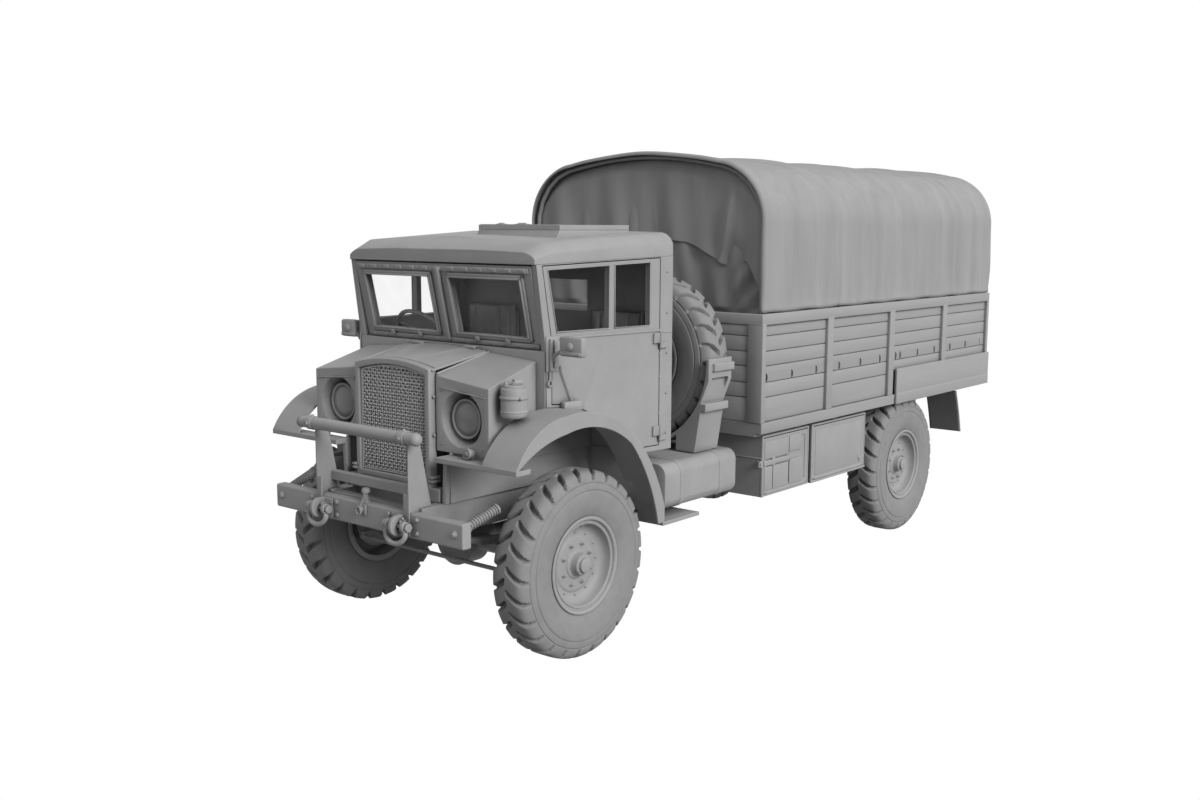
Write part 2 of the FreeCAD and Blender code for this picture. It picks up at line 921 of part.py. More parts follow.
def make_steering():
    """The knuckles that carry the front wheels, and the tie rod between their arms."""
    at = (S.kingpin_place, S.front_axle_place)
    barrel = rod("barrel", "Z", (*at, S.tyre_radius - S.barrel_half), 2 * S.barrel_half, S.barrel_radius)
    kingpin = rod("kingpin", "Z", (*at, S.tyre_radius - S.yoke_half), 2 * S.yoke_half, S.kingpin_radius)
    plate_place = S.track_half - S.drum_place - S.running_gap - S.backplate_thick
    spindle = rod("spindle", "X", (*at, S.tyre_radius),
                  S.track_half - S.spindle_end - S.kingpin_place - S.running_gap, S.spindle_radius)
    plate = rod("backplate", "X", (plate_place, S.front_axle_place, S.tyre_radius),
                S.backplate_thick, S.backplate_radius)
    pin_side = S.kingpin_place
    pin_place = S.front_axle_place - S.steer_arm_long
    arm_high = S.tyre_radius - S.steer_arm_drop
    arm = block("steer_arm", (pin_side - S.steer_arm_wide / 2, pin_place, arm_high - S.steer_arm_thick),
                (pin_side + S.steer_arm_wide / 2, S.front_axle_place, arm_high))
    arm_end = rod("steer_arm_end", "Z", (pin_side, pin_place, arm_high - S.steer_arm_thick),
                  S.steer_arm_thick, S.steer_arm_wide / 2)
    pin = rod("steer_pin", "Z", (pin_side, pin_place, arm_high - S.steer_pin_long),
              S.steer_pin_long, S.steer_pin_radius)
    knuckle = join("knuckle_left", barrel, kingpin, spindle, plate, arm, arm_end, pin)
    keep("knuckle_left", knuckle)
    keep("knuckle_right", mirrored("knuckle_right", knuckle))
    eye_high = arm_high - S.steer_arm_thick - S.fit_gap
    eye_low = eye_high - 2 * S.tie_eye_half
    eye = rod("tie_eye", "Z", (pin_side, pin_place, eye_low), 2 * S.tie_eye_half, S.tie_eye_radius)
    bore = rod("tie_bore", "Z", (pin_side, pin_place, eye_low - S.overrun),
               2 * (S.tie_eye_half + S.overrun), S.steer_pin_radius + S.fit_gap)
    tube = rod("tie_tube", "X", (-pin_side, pin_place, eye_low + S.tie_eye_half), 2 * pin_side,
               S.tie_rod_radius)
    whole = join("tie_rod_whole", tube, eye, mirrored("tie_eye_right", eye))
    keep("tie_rod", cut("tie_rod", whole, bore, mirrored("tie_bore_right", bore)))


def leaf_spring(name, along, half):
    """A pack of four curved leaves with its hangers and U-bolts, on the left rail."""
    seat = S.tyre_radius + S.axle_tube_radius + S.fit_gap
    parts = []
    for index in range(LEAF_COUNT):
        reach = half - (LEAF_COUNT - 1 - index) * S.leaf_step
        low = seat + index * S.leaf_thick
        rise = reach * reach / (2 * S.spring_curve)
        bend = crown_radius(reach, rise)
        parts.append(prism("%s_leaf_%d" % (name, index), "YZ", S.spring_place, S.spring_wide, [
            (along - reach, low + rise),
            (along + reach, low + rise, bend),
            (along + reach, low + rise + S.leaf_thick),
            (along - reach, low + rise + S.leaf_thick, -bend),
        ]))
    hanger_low = low + rise
    for word, end in (("front", along - half), ("rear", along + half - S.hanger_long)):
        parts.append(block("%s_hanger_%s" % (name, word), (S.spring_place, end, hanger_low),
                           (S.spring_place + S.spring_wide, end + S.hanger_long, S.rail_low)))
    return join(name, *parts)


def make_springs():
    """The four leaf springs that seat on the axle tubes and hang from the rails."""
    front = leaf_spring("front_spring", S.front_axle_place, S.front_spring_half)
    rear = leaf_spring("rear_spring", REAR_AXLE, S.rear_spring_half)
    keep("springs", gathered("springs", front, mirrored("front_spring_right", front),
                             rear, mirrored("rear_spring_right", rear)))


def make_frame():
    """Two channel rails, open inwards, and the channel crossmembers that tie them."""
    inner = S.rail_out - S.rail_flange
    rail = prism("rail", "XZ", S.frame_front, S.frame_rear - S.frame_front, [
        (inner, S.rail_low),
        (S.rail_out, S.rail_low),
        (S.rail_out, S.rail_high),
        (inner, S.rail_high),
        (inner, S.rail_high - S.rail_wall),
        (S.rail_out - S.rail_wall, S.rail_high - S.rail_wall),
        (S.rail_out - S.rail_wall, S.rail_low + S.rail_wall),
        (inner, S.rail_low + S.rail_wall),
    ])
    reach = S.rail_out - S.rail_wall
    parts = [rail, mirrored("rail_right", rail)]
    places = [
        S.frame_front + S.cross_wide / 2,
        S.radiator_front + S.cross_wide / 2,
        S.engine_rear + S.cross_wide * 2,
        S.transfer_front,
        S.transfer_rear,
        S.locker_split,
        S.locker_rear,
        REAR_AXLE + S.banjo_radius + S.rear_spring_half,
        S.frame_rear - S.cross_wide,
    ]
    for index, middle in enumerate(places):
        front = middle - S.cross_wide / 2
        rear = middle + S.cross_wide / 2
        parts.append(prism("crossmember_%d" % index, "YZ", -reach, 2 * reach, [
            (front, S.cross_low),
            (front + S.cross_wall, S.cross_low),
            (front + S.cross_wall, S.rail_high - S.rail_wall * 2),
            (rear, S.rail_high - S.rail_wall * 2),
            (rear, S.rail_high - S.rail_wall),
            (front, S.rail_high - S.rail_wall),
        ]))
    for index, middle in enumerate((S.cab_mount_front, S.cab_mount_rear)):
        mount = block("cab_mount_%d" % index, (inner, middle - S.cross_wide / 2, S.rail_high),
                      (S.rail_out, middle + S.cross_wide / 2, S.floor_height))
        parts += [mount, mirrored("cab_mount_right_%d" % index, mount)]
    middle = (S.engine_front + S.engine_rear) / 2
    parts.append(block("engine_bearer", (-reach, middle - S.cross_wide, S.engine_bearer_low),
                       (reach, middle + S.cross_wide, S.engine_bearer_high)))
    keep("chassis_frame", join("chassis_frame", *parts))


def make_bumper():
    """The front bumper, a channel open to the rear across the frame ends."""
    back = S.frame_front
    corner = S.bumper_corner
    beam = prism("bumper_beam", "YZ", -S.bumper_half, 2 * S.bumper_half, [
        (S.bumper_front + corner, S.bumper_low, corner),
        (back, S.bumper_low),
        (back, S.bumper_high),
        (S.bumper_front + corner, S.bumper_high),
        (S.bumper_front, S.bumper_high - corner, corner),
        (S.bumper_front, S.bumper_low + corner),
    ])
    wall = S.bumper_wall
    hollow = block("bumper_hollow", (wall - S.bumper_half, S.bumper_front + wall, S.bumper_low + wall),
                   (S.bumper_half - wall, back + S.overrun, S.bumper_high - wall))
    keep("front_bumper", cut("front_bumper", beam, hollow))
    pipe = rod("guard_pipe", "X", (-S.guard_half, S.guard_place, S.guard_height),
               2 * S.guard_half, S.guard_radius)
    face = S.bumper_front - S.guard_post_thick
    web_inner = S.guard_post_out - S.guard_post_thick
    strip = block("guard_strip", (S.guard_post_out - S.guard_post_wide, face, S.bumper_low + corner),
                  (S.guard_post_out, S.bumper_front, S.guard_strip_high))
    nose = block("guard_post_foot", (web_inner, face, S.bumper_low + corner),
                 (S.guard_post_out, S.bumper_front, S.bumper_high))
    above_rail = S.rail_high + S.panel_gap
    web = prism("guard_web", "YZ", web_inner, S.guard_post_thick, [
        (face, S.bumper_high),
        (back - S.fit_gap, S.bumper_high),
        (back - S.fit_gap, above_rail),
        (face + S.guard_gusset_low, above_rail),
        (face + S.guard_gusset_high, S.guard_height),
        (face, S.guard_height),
    ])
    upright = join("guard_upright", strip, nose, web)
    bar = block("guard_cross_bar", (-web_inner, S.cross_bar_place, S.cross_bar_low),
                (web_inner, S.cross_bar_place + S.cross_bar_deep, S.cross_bar_high))
    keep("brush_guard", join("brush_guard", pipe, upright, mirrored("guard_upright_right", upright), bar))


def arch_outline(half, low, shoulder, rise):
    """An upright outline with a gently arched top."""
    return [
        (-half, low),
        (half, low),
        (half, shoulder),
        (-half, shoulder, crown_radius(half, rise)),
    ]


def make_grille():
    """The arched surround, the square-woven guard inside it, and the radiator behind."""
    hole_half = S.grille_half - S.grille_band
    hole_low = S.grille_low + S.grille_band
    hole_shoulder = S.grille_shoulder - S.grille_band
    surround = prism("grille_surround", "XZ", S.grille_front, S.grille_deep,
                     arch_outline(S.grille_half, S.grille_low, S.grille_shoulder, S.grille_rise),
                     [arch_outline(hole_half, hole_low, hole_shoulder, S.grille_rise)])
    bracket_low = S.rail_high
    bracket = block("grille_bracket", (hole_half, S.grille_front, bracket_low),
                    (S.rail_out - S.rail_flange / 2, S.grille_front + S.grille_deep, S.grille_low))
    keep("grille_surround", join("grille_surround_whole", surround, bracket,
                                 mirrored("grille_bracket_right", bracket)))
    mesh_front = S.grille_front + S.mesh_recess
    half = hole_half - S.fit_gap
    low = hole_low + S.fit_gap
    shoulder = hole_shoulder - S.fit_gap
    border = prism("mesh_border", "XZ", mesh_front, 2 * S.mesh_wire,
                   arch_outline(half, low, shoulder, S.grille_rise),
                   [arch_outline(half - S.mesh_border, low + S.mesh_border,
                                 shoulder - S.mesh_border, S.grille_rise)])
    wires = []
    columns = int((half.number - S.mesh_border.number) / S.mesh_pitch.number)
    for index in range(-columns, columns + 1):
        centre = index * S.mesh_pitch
        wires.append(block("mesh_upright_%d" % (index + columns),
                           (centre - S.mesh_wire, mesh_front, low),
                           (centre + S.mesh_wire, mesh_front + S.mesh_wire, shoulder)))
    rows = int((shoulder.number - low.number) / S.mesh_pitch.number)
    for index in range(1, rows + 1):
        height = low + index * S.mesh_pitch
        wires.append(block("mesh_row_%d" % index, (-half, mesh_front + S.mesh_wire, height - S.mesh_wire),
                           (half, mesh_front + 2 * S.mesh_wire, height + S.mesh_wire)))
    keep("grille_mesh", join("grille_mesh", border, *wires))
    core = block("radiator_core", (-S.radiator_half, S.radiator_front, S.rail_high - S.rail_wall),
                 (S.radiator_half, S.radiator_front + S.radiator_deep, S.radiator_high - S.radiator_tank))
    tank = block("radiator_tank",
                 (-S.radiator_half, S.radiator_front - S.mesh_recess, S.radiator_high - S.radiator_tank),
                 (S.radiator_half, S.radiator_front + S.radiator_deep + S.mesh_recess, S.radiator_high))
    keep("radiator", join("radiator", core, tank))


def make_nose():
    """The two housings beside the bonnet, each with a scooped lamp recess, and the lamps."""
    rear = S.cowl_front
    shape = loft("nose_box", "XZ", [
        (S.nose_front, [
            (S.nose_inner, S.nose_low),
            (S.nose_outer, S.nose_low),
            (S.nose_outer, S.nose_top_outer),
            (S.nose_inner, S.nose_top_inner),
        ]),
        (rear, [
            (S.nose_inner_rear, S.nose_low),
            (S.nose_outer_rear, S.nose_low),
            (S.nose_outer_rear, S.nose_rear_outer),
            (S.nose_inner_rear, S.nose_rear_inner),
        ]),
    ])
    scoop = taper("lamp_scoop", "Y", (S.lamp_place, S.nose_front - S.overrun, S.lamp_height),
                  S.recess_deep + S.overrun, S.recess_radius, S.recess_floor_radius)
    box = cut("nose_box_cut", shape, scoop)
    keep("nose_boxes", both("nose_boxes", box))
    lamp_back = S.nose_front + S.recess_deep - S.fit_gap
    bowl = taper("lamp_bowl", "Y", (S.lamp_place, lamp_back - S.lamp_deep, S.lamp_height),
                 S.lamp_deep, S.lamp_radius, S.lamp_radius - S.lamp_dome)
    dome = taper("lamp_lens", "Y", (S.lamp_place, lamp_back - S.lamp_deep - S.lamp_dome, S.lamp_height),
                 S.lamp_dome, S.lens_front_radius, S.lens_rear_radius)
    head = join("headlamp", bowl, dome)
    tail = rod("tail_lamp", "Y", (S.tail_lamp_place, S.body_rear, S.bed_low + S.tail_lamp_radius / 2),
               S.tail_lamp_deep, S.tail_lamp_radius / 2)
    keep("lamps", gathered("lamps", head, mirrored("headlamp_right", head),
                           tail, mirrored("tail_lamp_right", tail)))


def make_bonnet():
    """The arched bonnet lid, hinged at the cowl, and the engine below it."""
    front = S.grille_front + S.grille_deep + S.running_gap
    hinge_place = S.cowl_front - S.bonnet_hinge_radius * 2
    rear = hinge_place - S.running_gap
    skin = loft("bonnet_skin", "XZ", [
        (front, arched_strip(S.bonnet_half, S.bonnet_front_height, S.bonnet_thick, S.grille_rise)),
        (rear, arched_strip(S.bonnet_half_rear, S.bonnet_rear_height, S.bonnet_thick, S.bonnet_rise_rear)),
    ])
    pin_height = S.bonnet_rear_height + S.bonnet_rise_rear / 2
    sleeves = []
    for index, start in enumerate((-S.bonnet_hinge_half, S.bonnet_hinge_half - S.bonnet_hinge_long)):
        sleeve = rod("bonnet_sleeve_%d" % index, "X", (start, hinge_place, pin_height),
                     S.bonnet_hinge_long, S.bonnet_hinge_radius * 2)
        leaf = block("bonnet_leaf_%d" % index, (start, rear - S.bonnet_thick * 2, pin_height),
                     (start + S.bonnet_hinge_long, hinge_place, pin_height + S.bonnet_thick))
        sleeves += [sleeve, leaf]
    bore = rod("bonnet_bore", "X", (-S.bonnet_hinge_half - S.overrun, hinge_place, pin_height),
               2 * (S.bonnet_hinge_half + S.overrun), S.bonnet_hinge_radius + S.fit_gap)
    keep("bonnet_lid", cut("bonnet_lid", join("bonnet_whole", skin, *sleeves), bore))
    keep("engine_block", block("engine_block", (-S.engine_half, S.engine_front, S.engine_bearer_high),
                               (S.engine_half, S.engine_rear, S.engine_high)))


def arched_strip(half, height, thick, rise):
    """The section of a sheet that arches between two edges."""
    bend = crown_radius(half, rise)
    return [
        (-half, height - thick),
        (half, height - thick, -bend),
        (half, height),
        (-half, height, bend),
    ]


def set_to_side(item):
    """Moves a piece from its own drawing to the cab's tapered left side."""
    lean(item, Vector(0, 0, 1), -TAPER)
    return place(item, S.cab_rear_half, S.cab_rear, 0)


def side_envelope(name):
    """The room that the cab's left side and its door take up, kept clear by other pieces."""
    reach = S.cab_rear - S.cab_front
    slab = block(name + "_slab", (-S.cab_wall - S.running_gap, -reach - S.cab_wall, S.cab_low - S.overrun),
                 (S.cab_wall, 0, S.eaves_rear + S.overrun))
    return set_to_side(gathered(name, slab))


def door_outline(grow):
    """The door seen from the side, from its rear edge forward, grown or shrunk all round."""
    gap = S.door_sill - grow
    front = S.door_front_low + grow
    low = S.door_low - grow
    return [
        (-S.door_rear + grow, low),
        (-S.door_rear + grow, S.door_high_rear + grow),
        (-S.door_front_high - grow, S.door_high_front + grow),
        (-S.door_front_belt - grow, S.belt_height),
        (-front, above_crease(front, gap)),
        (-crease_forward(low, gap), low, -(S.crease_mid_radius + gap)),
    ]


def door_hinge_heights():
    """The feet of the door's two hinge barrels."""
    return S.door_low + S.door_hinge_high, S.belt_height - S.door_hinge_high


def make_cab_sides():
    """The fixed side frames with their posts and sills, and the rear wall, as one shell."""
    top = S.fit_gap
    gap = S.panel_gap
    reach = S.cab_rear - S.cab_front
    frame = prism("side_frame", "YZ", -S.cab_wall, S.cab_wall, [
        (0, S.cab_low),
        (0, S.eaves_rear - top),
        (-reach + S.running_gap, S.eaves_front - top),
        (-S.door_front_belt - S.door_gap - S.cab_wall, S.cowl_high),
        (S.cowl_front - S.cab_rear, S.cowl_high),
        (S.cowl_front - S.cab_rear, above_crease(S.cab_rear - S.cowl_front, gap)),
        (-crease_forward(S.cab_low, gap), S.cab_low, -(S.crease_mid_radius + gap)),
    ], [door_outline(S.door_gap)])
    set_to_side(frame)
    half = S.cab_rear_half - S.cab_wall / 2
    wall = prism("rear_wall", "XZ", S.cab_rear - S.wall_thick, S.wall_thick,
                 rectangle(-half, S.cab_low, half, S.eaves_rear - S.panel_gap),
                 [rectangle(-S.rear_window_half, S.rear_window_low, S.rear_window_half, S.rear_window_high)])
    lugs = []
    for index, foot in enumerate(door_hinge_heights()):
        low = foot - S.fit_gap - S.door_lug_high
        lugs.append(rod("door_lug_pin_%d" % index, "Z", (S.door_hinge_out, -S.door_rear, low),
                        S.door_lug_high, S.door_hinge_radius))
        lugs.append(block("door_lug_strap_%d" % index, (-S.overrun, -S.door_rear, low),
                          (S.door_hinge_out, -S.door_rear + S.door_hinge_high, low + S.door_lug_high)))
    lugs = set_to_side(join("door_lugs", *lugs))
    keep("cab_shell", join("cab_shell", wall, frame, mirrored("side_frame_right", frame),
                           lugs, mirrored("door_lugs_right", lugs)))
    return frame


def window_top(forward):
    """The height of the windows' sloping top edge, forward of the cab's rear."""
    share = (forward - S.window_rear) / (S.window_front_high - S.window_rear)
    return S.window_high_rear - (S.window_high_rear - S.window_high_front) * share


def make_doors():
    """The doors: one pressed panel each, both windows cut, hung on two rear hinges."""
    upper_bar = -S.window_bar_place - S.window_bar_wide
    panes = [
        [
            (-S.window_rear, S.window_low),
            (-S.window_rear, window_top(S.window_rear)),
            (-S.window_bar_place, window_top(S.window_bar_place)),
            (-S.window_bar_place, S.window_low),
        ],
        [
            (upper_bar, S.window_low),
            (upper_bar, window_top(-upper_bar)),
            (-S.window_front_high, window_top(S.window_front_high)),
            (-S.window_front_low, S.window_low),
        ],
    ]
    panel = prism("door_panel", "YZ", -S.cab_wall, S.cab_wall, door_outline(0), panes)
    barrels = []
    for index, foot in enumerate(door_hinge_heights()):
        barrels.append(rod("door_barrel_%d" % index, "Z", (S.door_hinge_out, -S.door_rear, foot),
                           S.door_hinge_high, S.door_hinge_radius))
        barrels.append(block("door_strap_%d" % index, (-S.overrun / 2, -S.door_rear - S.door_hinge_high, foot),
                             (S.door_hinge_out, -S.door_rear, foot + S.door_hinge_high)))
    door = set_to_side(join("door_left", panel, *barrels))
    keep("door_left", door)
    keep("door_right", mirrored("door_right", door))


def make_cab_front(side):
    """The cowl with its opening for the engine, and the leaning windscreen frame."""
    half = S.cab_front_half
    hole = S.engine_cover_half - S.sheet
    cowl = prism("cowl", "XZ", S.cowl_front, S.cowl_wall, [
        (-S.arch_inner, S.floor_height),
        (-hole, S.floor_height),
        (-hole, S.engine_cover_high - S.sheet),
        (hole, S.engine_cover_high - S.sheet),
        (hole, S.floor_height),
        (S.arch_inner, S.floor_height),
        (S.arch_inner, S.arch_floor),
        (half, S.arch_floor),
        (half, S.cowl_high),
        (-half, S.cowl_high),
        (-half, S.arch_floor),
        (-S.arch_inner, S.arch_floor),
    ])
    run = S.eaves_front - S.cowl_high
    panel_high = root(run * run + (S.screen_foot - S.screen_head) * (S.screen_foot - S.screen_head))
    panes = [
        rectangle(S.pane_inner, S.pane_low, S.pane_outer, S.pane_high),
        rectangle(-S.pane_outer, S.pane_low, -S.pane_inner, S.pane_high),
    ]
    screen = prism("screen_frame", "XZ", 0, S.screen_wall,
                   rectangle(-half, -S.overrun, half, panel_high - S.overrun), panes)
    lean(screen, Vector(1, 0, 0), SCREEN_LEAN)
    place(screen, 0, S.screen_foot, S.cowl_high)
    envelope = side_envelope("screen_envelope")
    screen = cut("screen_between", screen, envelope, mirrored("screen_envelope_right", envelope))
    cowl = cut("cowl_between", cowl, side, mirrored("side_for_cowl", side))
    keep("cab_front", join("cab_front", cowl, screen))
    panes = []
    for index, low in enumerate((S.pane_inner, -S.pane_outer)):
        panes.append(block("screen_glass_%d" % index,
                           (low + S.fit_gap, S.screen_wall / 2, S.pane_low + S.fit_gap),
                           (low + S.pane_outer - S.pane_inner - S.fit_gap,
                            S.screen_wall / 2 + S.glass_thick, S.pane_high - S.fit_gap)))
    glass = gathered("screen_glass", *panes)
    lean(glass, Vector(1, 0, 0), SCREEN_LEAN)
    place(glass, 0, S.screen_foot, S.cowl_high)
    rear_pane = block("rear_glass",
                      (-S.rear_window_half + S.fit_gap, S.cab_rear - S.wall_thick / 2,
                       S.rear_window_low + S.fit_gap),
                      (S.rear_window_half - S.fit_gap, S.cab_rear - S.wall_thick / 2 + S.glass_thick,
                       S.rear_window_high - S.fit_gap))
    keep("cab_glass", gathered("cab_glass", glass, rear_pane))


def make_cab_floor():
    """The floor between the wheel arches, the arch boxes and the cover over the engine."""
    inner_front = S.cowl_front + S.cowl_wall
    inner_rear = S.cab_rear - S.wall_thick
    floor_high = S.floor_height + S.floor_thick
    side = S.fender_inner - S.fit_gap
    rear_half = S.cab_rear_half - S.cab_wall * 2
    parts = [
        block("floor_middle", (-S.arch_inner, inner_front, S.floor_height),
              (S.arch_inner, inner_rear, floor_high)),
        block("floor_rear", (-rear_half, S.arch_rear, S.floor_height), (rear_half, inner_rear, floor_high)),
    ]
    top = S.arch_floor + S.sheet
    arch = join(
        "arch_box",
        block("arch_top", (S.arch_inner, inner_front, S.arch_floor), (side, S.arch_rear, top)),
        block("arch_inside", (S.arch_inner, inner_front, S.floor_height),
              (S.arch_inner + S.sheet, S.arch_rear, top)),
        block("arch_back", (S.arch_inner, S.arch_rear, S.floor_height),
              (side, S.arch_rear + S.sheet, top)),
    )
    parts += [arch, mirrored("arch_box_right", arch)]
    well = block("engine_well", (-S.engine_cover_half + S.sheet, inner_front - S.overrun,
                                 S.floor_height - S.overrun),
                 (S.engine_cover_half - S.sheet, S.engine_cover_rear - S.sheet,
                  S.engine_cover_high - S.sheet))
    cover = block("engine_cover", (-S.engine_cover_half, inner_front, S.floor_height),
                  (S.engine_cover_half, S.engine_cover_rear, S.engine_cover_high))
    envelope = side_envelope("floor_envelope")
    keep("cab_floor", cut("cab_floor", join("cab_floor_whole", *parts, cover), well,
                          envelope, mirrored("floor_envelope_right", envelope)))


def roof_section(half, eaves, side, shoulder, rise):
    """The roof seen from the front: upright edge, rounded shoulder, gentle crown."""
    side_top = eaves + side
    inner = half - S.roof_shoulder_wide
    shoulder_top = side_top + shoulder
    wide = S.roof_shoulder_wide
    bend = (wide * wide + shoulder * shoulder) / (2 * shoulder)
    return [
        (-half, eaves),
        (half, eaves),
        (half, side_top),
        (inner, shoulder_top, bend),
        (-inner, shoulder_top, crown_radius(inner, rise)),
        (-half, side_top, bend),
    ]


def make_roof():
    """The domed roof skin with the raised coaming of its hatch."""
    reach = S.cab_rear - S.cab_front
    share = S.roof_brow_place / reach
    brow_half = S.cab_front_half + (S.cab_rear_half - S.cab_front_half) * share
    brow_eaves = S.eaves_front + (S.eaves_rear - S.eaves_front) * share
    brow = S.cab_front + S.roof_brow_place
    outer = loft("roof_outer", "XZ", [
        (S.cab_front, roof_section(S.cab_front_half, S.eaves_front, S.roof_front_side,
                                   S.roof_front_shoulder, S.roof_front_rise)),
        (brow, roof_section(brow_half, brow_eaves, S.roof_brow_side,
                            S.roof_brow_shoulder, S.roof_brow_rise)),
        (S.cab_rear, roof_section(S.cab_rear_half, S.eaves_rear, S.roof_rear_side,
                                  S.roof_rear_shoulder, S.roof_rear_rise)),
    ])
    skin = S.roof_skin
    hollow = loft("roof_hollow", "XZ", [
        (brow, roof_section(brow_half - S.cab_wall - skin, brow_eaves - skin, S.roof_brow_side,
                            S.roof_brow_shoulder, S.roof_brow_rise)),
        (S.cab_rear - S.wall_thick, roof_section(S.cab_rear_half - S.cab_wall - skin, S.eaves_rear - skin,
                                                 S.roof_rear_side, S.roof_rear_shoulder,
                                                 S.roof_rear_rise)),
    ])
    rim = S.hatch_coaming
    coaming = prism("hatch_coaming", "YZ", S.hatch_inner, S.hatch_outer - S.hatch_inner, [
        (S.hatch_front - S.hatch_slope, S.hatch_coaming_low),
        (S.hatch_rear, S.hatch_coaming_low),
        (S.hatch_rear, S.hatch_coaming_high),
        (S.hatch_front, S.hatch_coaming_high),
    ])
    opening = block("hatch_opening", (S.hatch_inner + rim, S.hatch_front + rim, S.eaves_front - S.overrun),
                    (S.hatch_outer - rim, S.hatch_rear - rim, S.hatch_coaming_high + S.overrun))
    shell = cut("roof_shell", outer, hollow)
    keep("cab_roof", cut("cab_roof", join("roof_whole", shell, coaming), opening))
    lid_low = S.hatch_coaming_high + S.fit_gap
    lid = block("hatch_plate", (S.hatch_inner, S.hatch_front, lid_low),
                (S.hatch_outer, S.hatch_rear, lid_low + S.hatch_lid_thick))
    barrels = []
    for index, start in enumerate((S.hatch_front + S.hatch_hinge_long,
                                   S.hatch_rear - 2 * S.hatch_hinge_long)):
        barrels.append(rod("hatch_barrel_%d" % index, "Y",
                           (S.hatch_inner - S.hatch_hinge_radius, start,
                            lid_low + S.hatch_hinge_radius),
                           S.hatch_hinge_long, S.hatch_hinge_radius))
        barrels.append(block("hatch_strap_%d" % index,
                             (S.hatch_inner - S.hatch_hinge_radius, start, lid_low),
                             (S.hatch_inner, start + S.hatch_hinge_long, lid_low + S.hatch_hinge_radius)))
    keep("hatch_lid", join("hatch_lid", lid, *barrels))


def make_fenders():
    """The front fenders: a rolled sheet over the wheel with a deep outer skirt, and the step."""
    skirt = prism("fender_skirt", "YZ", S.fender_outer - S.fender_skin, S.fender_skin, [
        (S.beak_place, S.beak_lip, S.opening_front_radius),
        (S.beak_place, S.beak_height),
        (S.crease_front_place, S.crease_front_height, -S.crease_front_radius),
        (S.crease_rear_place, S.crease_rear_height, -S.crease_mid_radius),
        (S.fender_foot_place, S.fender_foot_low, -S.crease_rear_radius),
        (S.fender_foot_place, S.step_height),
        (S.opening_foot_place, S.step_height),
        (S.opening_rear_place, S.opening_rear_height, S.opening_rear_radius),
        (S.opening_front_place, S.opening_front_height, S.opening_mid_radius),
    ])
    skin = S.fender_skin
    sheet_points = [
        (S.beak_place, S.beak_height - skin, S.crease_front_radius),
        (S.beak_place, S.beak_height),
        (S.crease_front_place, S.crease_front_height, -S.crease_front_radius),
        (S.crease_rear_place, S.crease_rear_height, -S.crease_mid_radius),
        (S.fender_foot_place, S.fender_foot_low, -S.crease_rear_radius),
        (S.fender_foot_place, S.step_height),
        (S.fender_foot_place - skin, S.step_height),
        (S.fender_foot_place - skin, S.fender_foot_low),
        (S.crease_rear_place - skin, S.crease_rear_height - skin, S.crease_rear_radius),
        (S.crease_front_place, S.crease_front_height - skin, S.crease_mid_radius),
    ]
    sheet = prism("fender_sheet", "YZ", S.fender_inner, S.fender_outer - S.fender_inner, sheet_points)
    notch = block("fender_notch", (S.fender_inner - S.overrun, S.opening_foot_place - S.overrun,
                                   S.step_height - S.overrun),
                  (S.fender_foot_inner, S.fender_foot_place + S.overrun, S.fender_foot_height))
    step = block("cab_step", (S.step_inner, S.fender_foot_place - skin, S.step_height - S.step_thick),
                 (S.fender_outer, S.step_rear, S.step_height))
    bracket_rear = S.tank_front - S.step_thick
    bracket = block("step_bracket", (S.rail_out, S.fender_foot_place, S.rail_low),
                    (S.step_inner + S.cross_wide, bracket_rear, S.rail_low + S.step_thick))
    riser = block("step_riser", (S.step_inner, S.fender_foot_place, S.step_height),
                  (S.step_inner + S.cross_wide, bracket_rear, S.rail_low))
    lip = block("beak_plate", (S.rail_out, S.beak_place, S.beak_lip - skin),
                (S.fender_outer, S.nose_front, S.beak_lip + skin))
    apron_front = S.grille_front + S.running_gap
    apron = prism("nose_apron", "XZ", apron_front, S.nose_front - apron_front, [
        (S.rail_out - skin, S.rail_high),
        (S.rail_out + skin, S.rail_high),
        (S.rail_out + skin * 2, S.beak_lip),
        (S.rail_out, S.beak_lip),
    ])
    low = S.rail_high + S.running_gap
    floor = S.floor_height - S.fit_gap
    liner = prism("arch_liner", "YZ", S.arch_inner - skin, skin, [
        (S.nose_front - S.overrun, low),
        (S.arch_rear, low),
        (S.arch_rear, floor),
        (S.cowl_front - S.fit_gap, floor),
        (S.cowl_front - S.fit_gap, S.nose_low - S.fit_gap),
        (S.nose_front - S.overrun, S.nose_low - S.fit_gap),
    ])
    closing = block("arch_closing", (S.arch_inner - skin, S.fender_foot_place - skin, S.rail_low),
                    (S.fender_foot_inner, S.fender_foot_place, S.cab_low - S.fit_gap))
    fender = join("fender", skirt, cut("fender_top", sheet, notch), step, bracket, riser, lip, apron,
                  liner, closing)
    keep("fenders", both("fenders", fender))


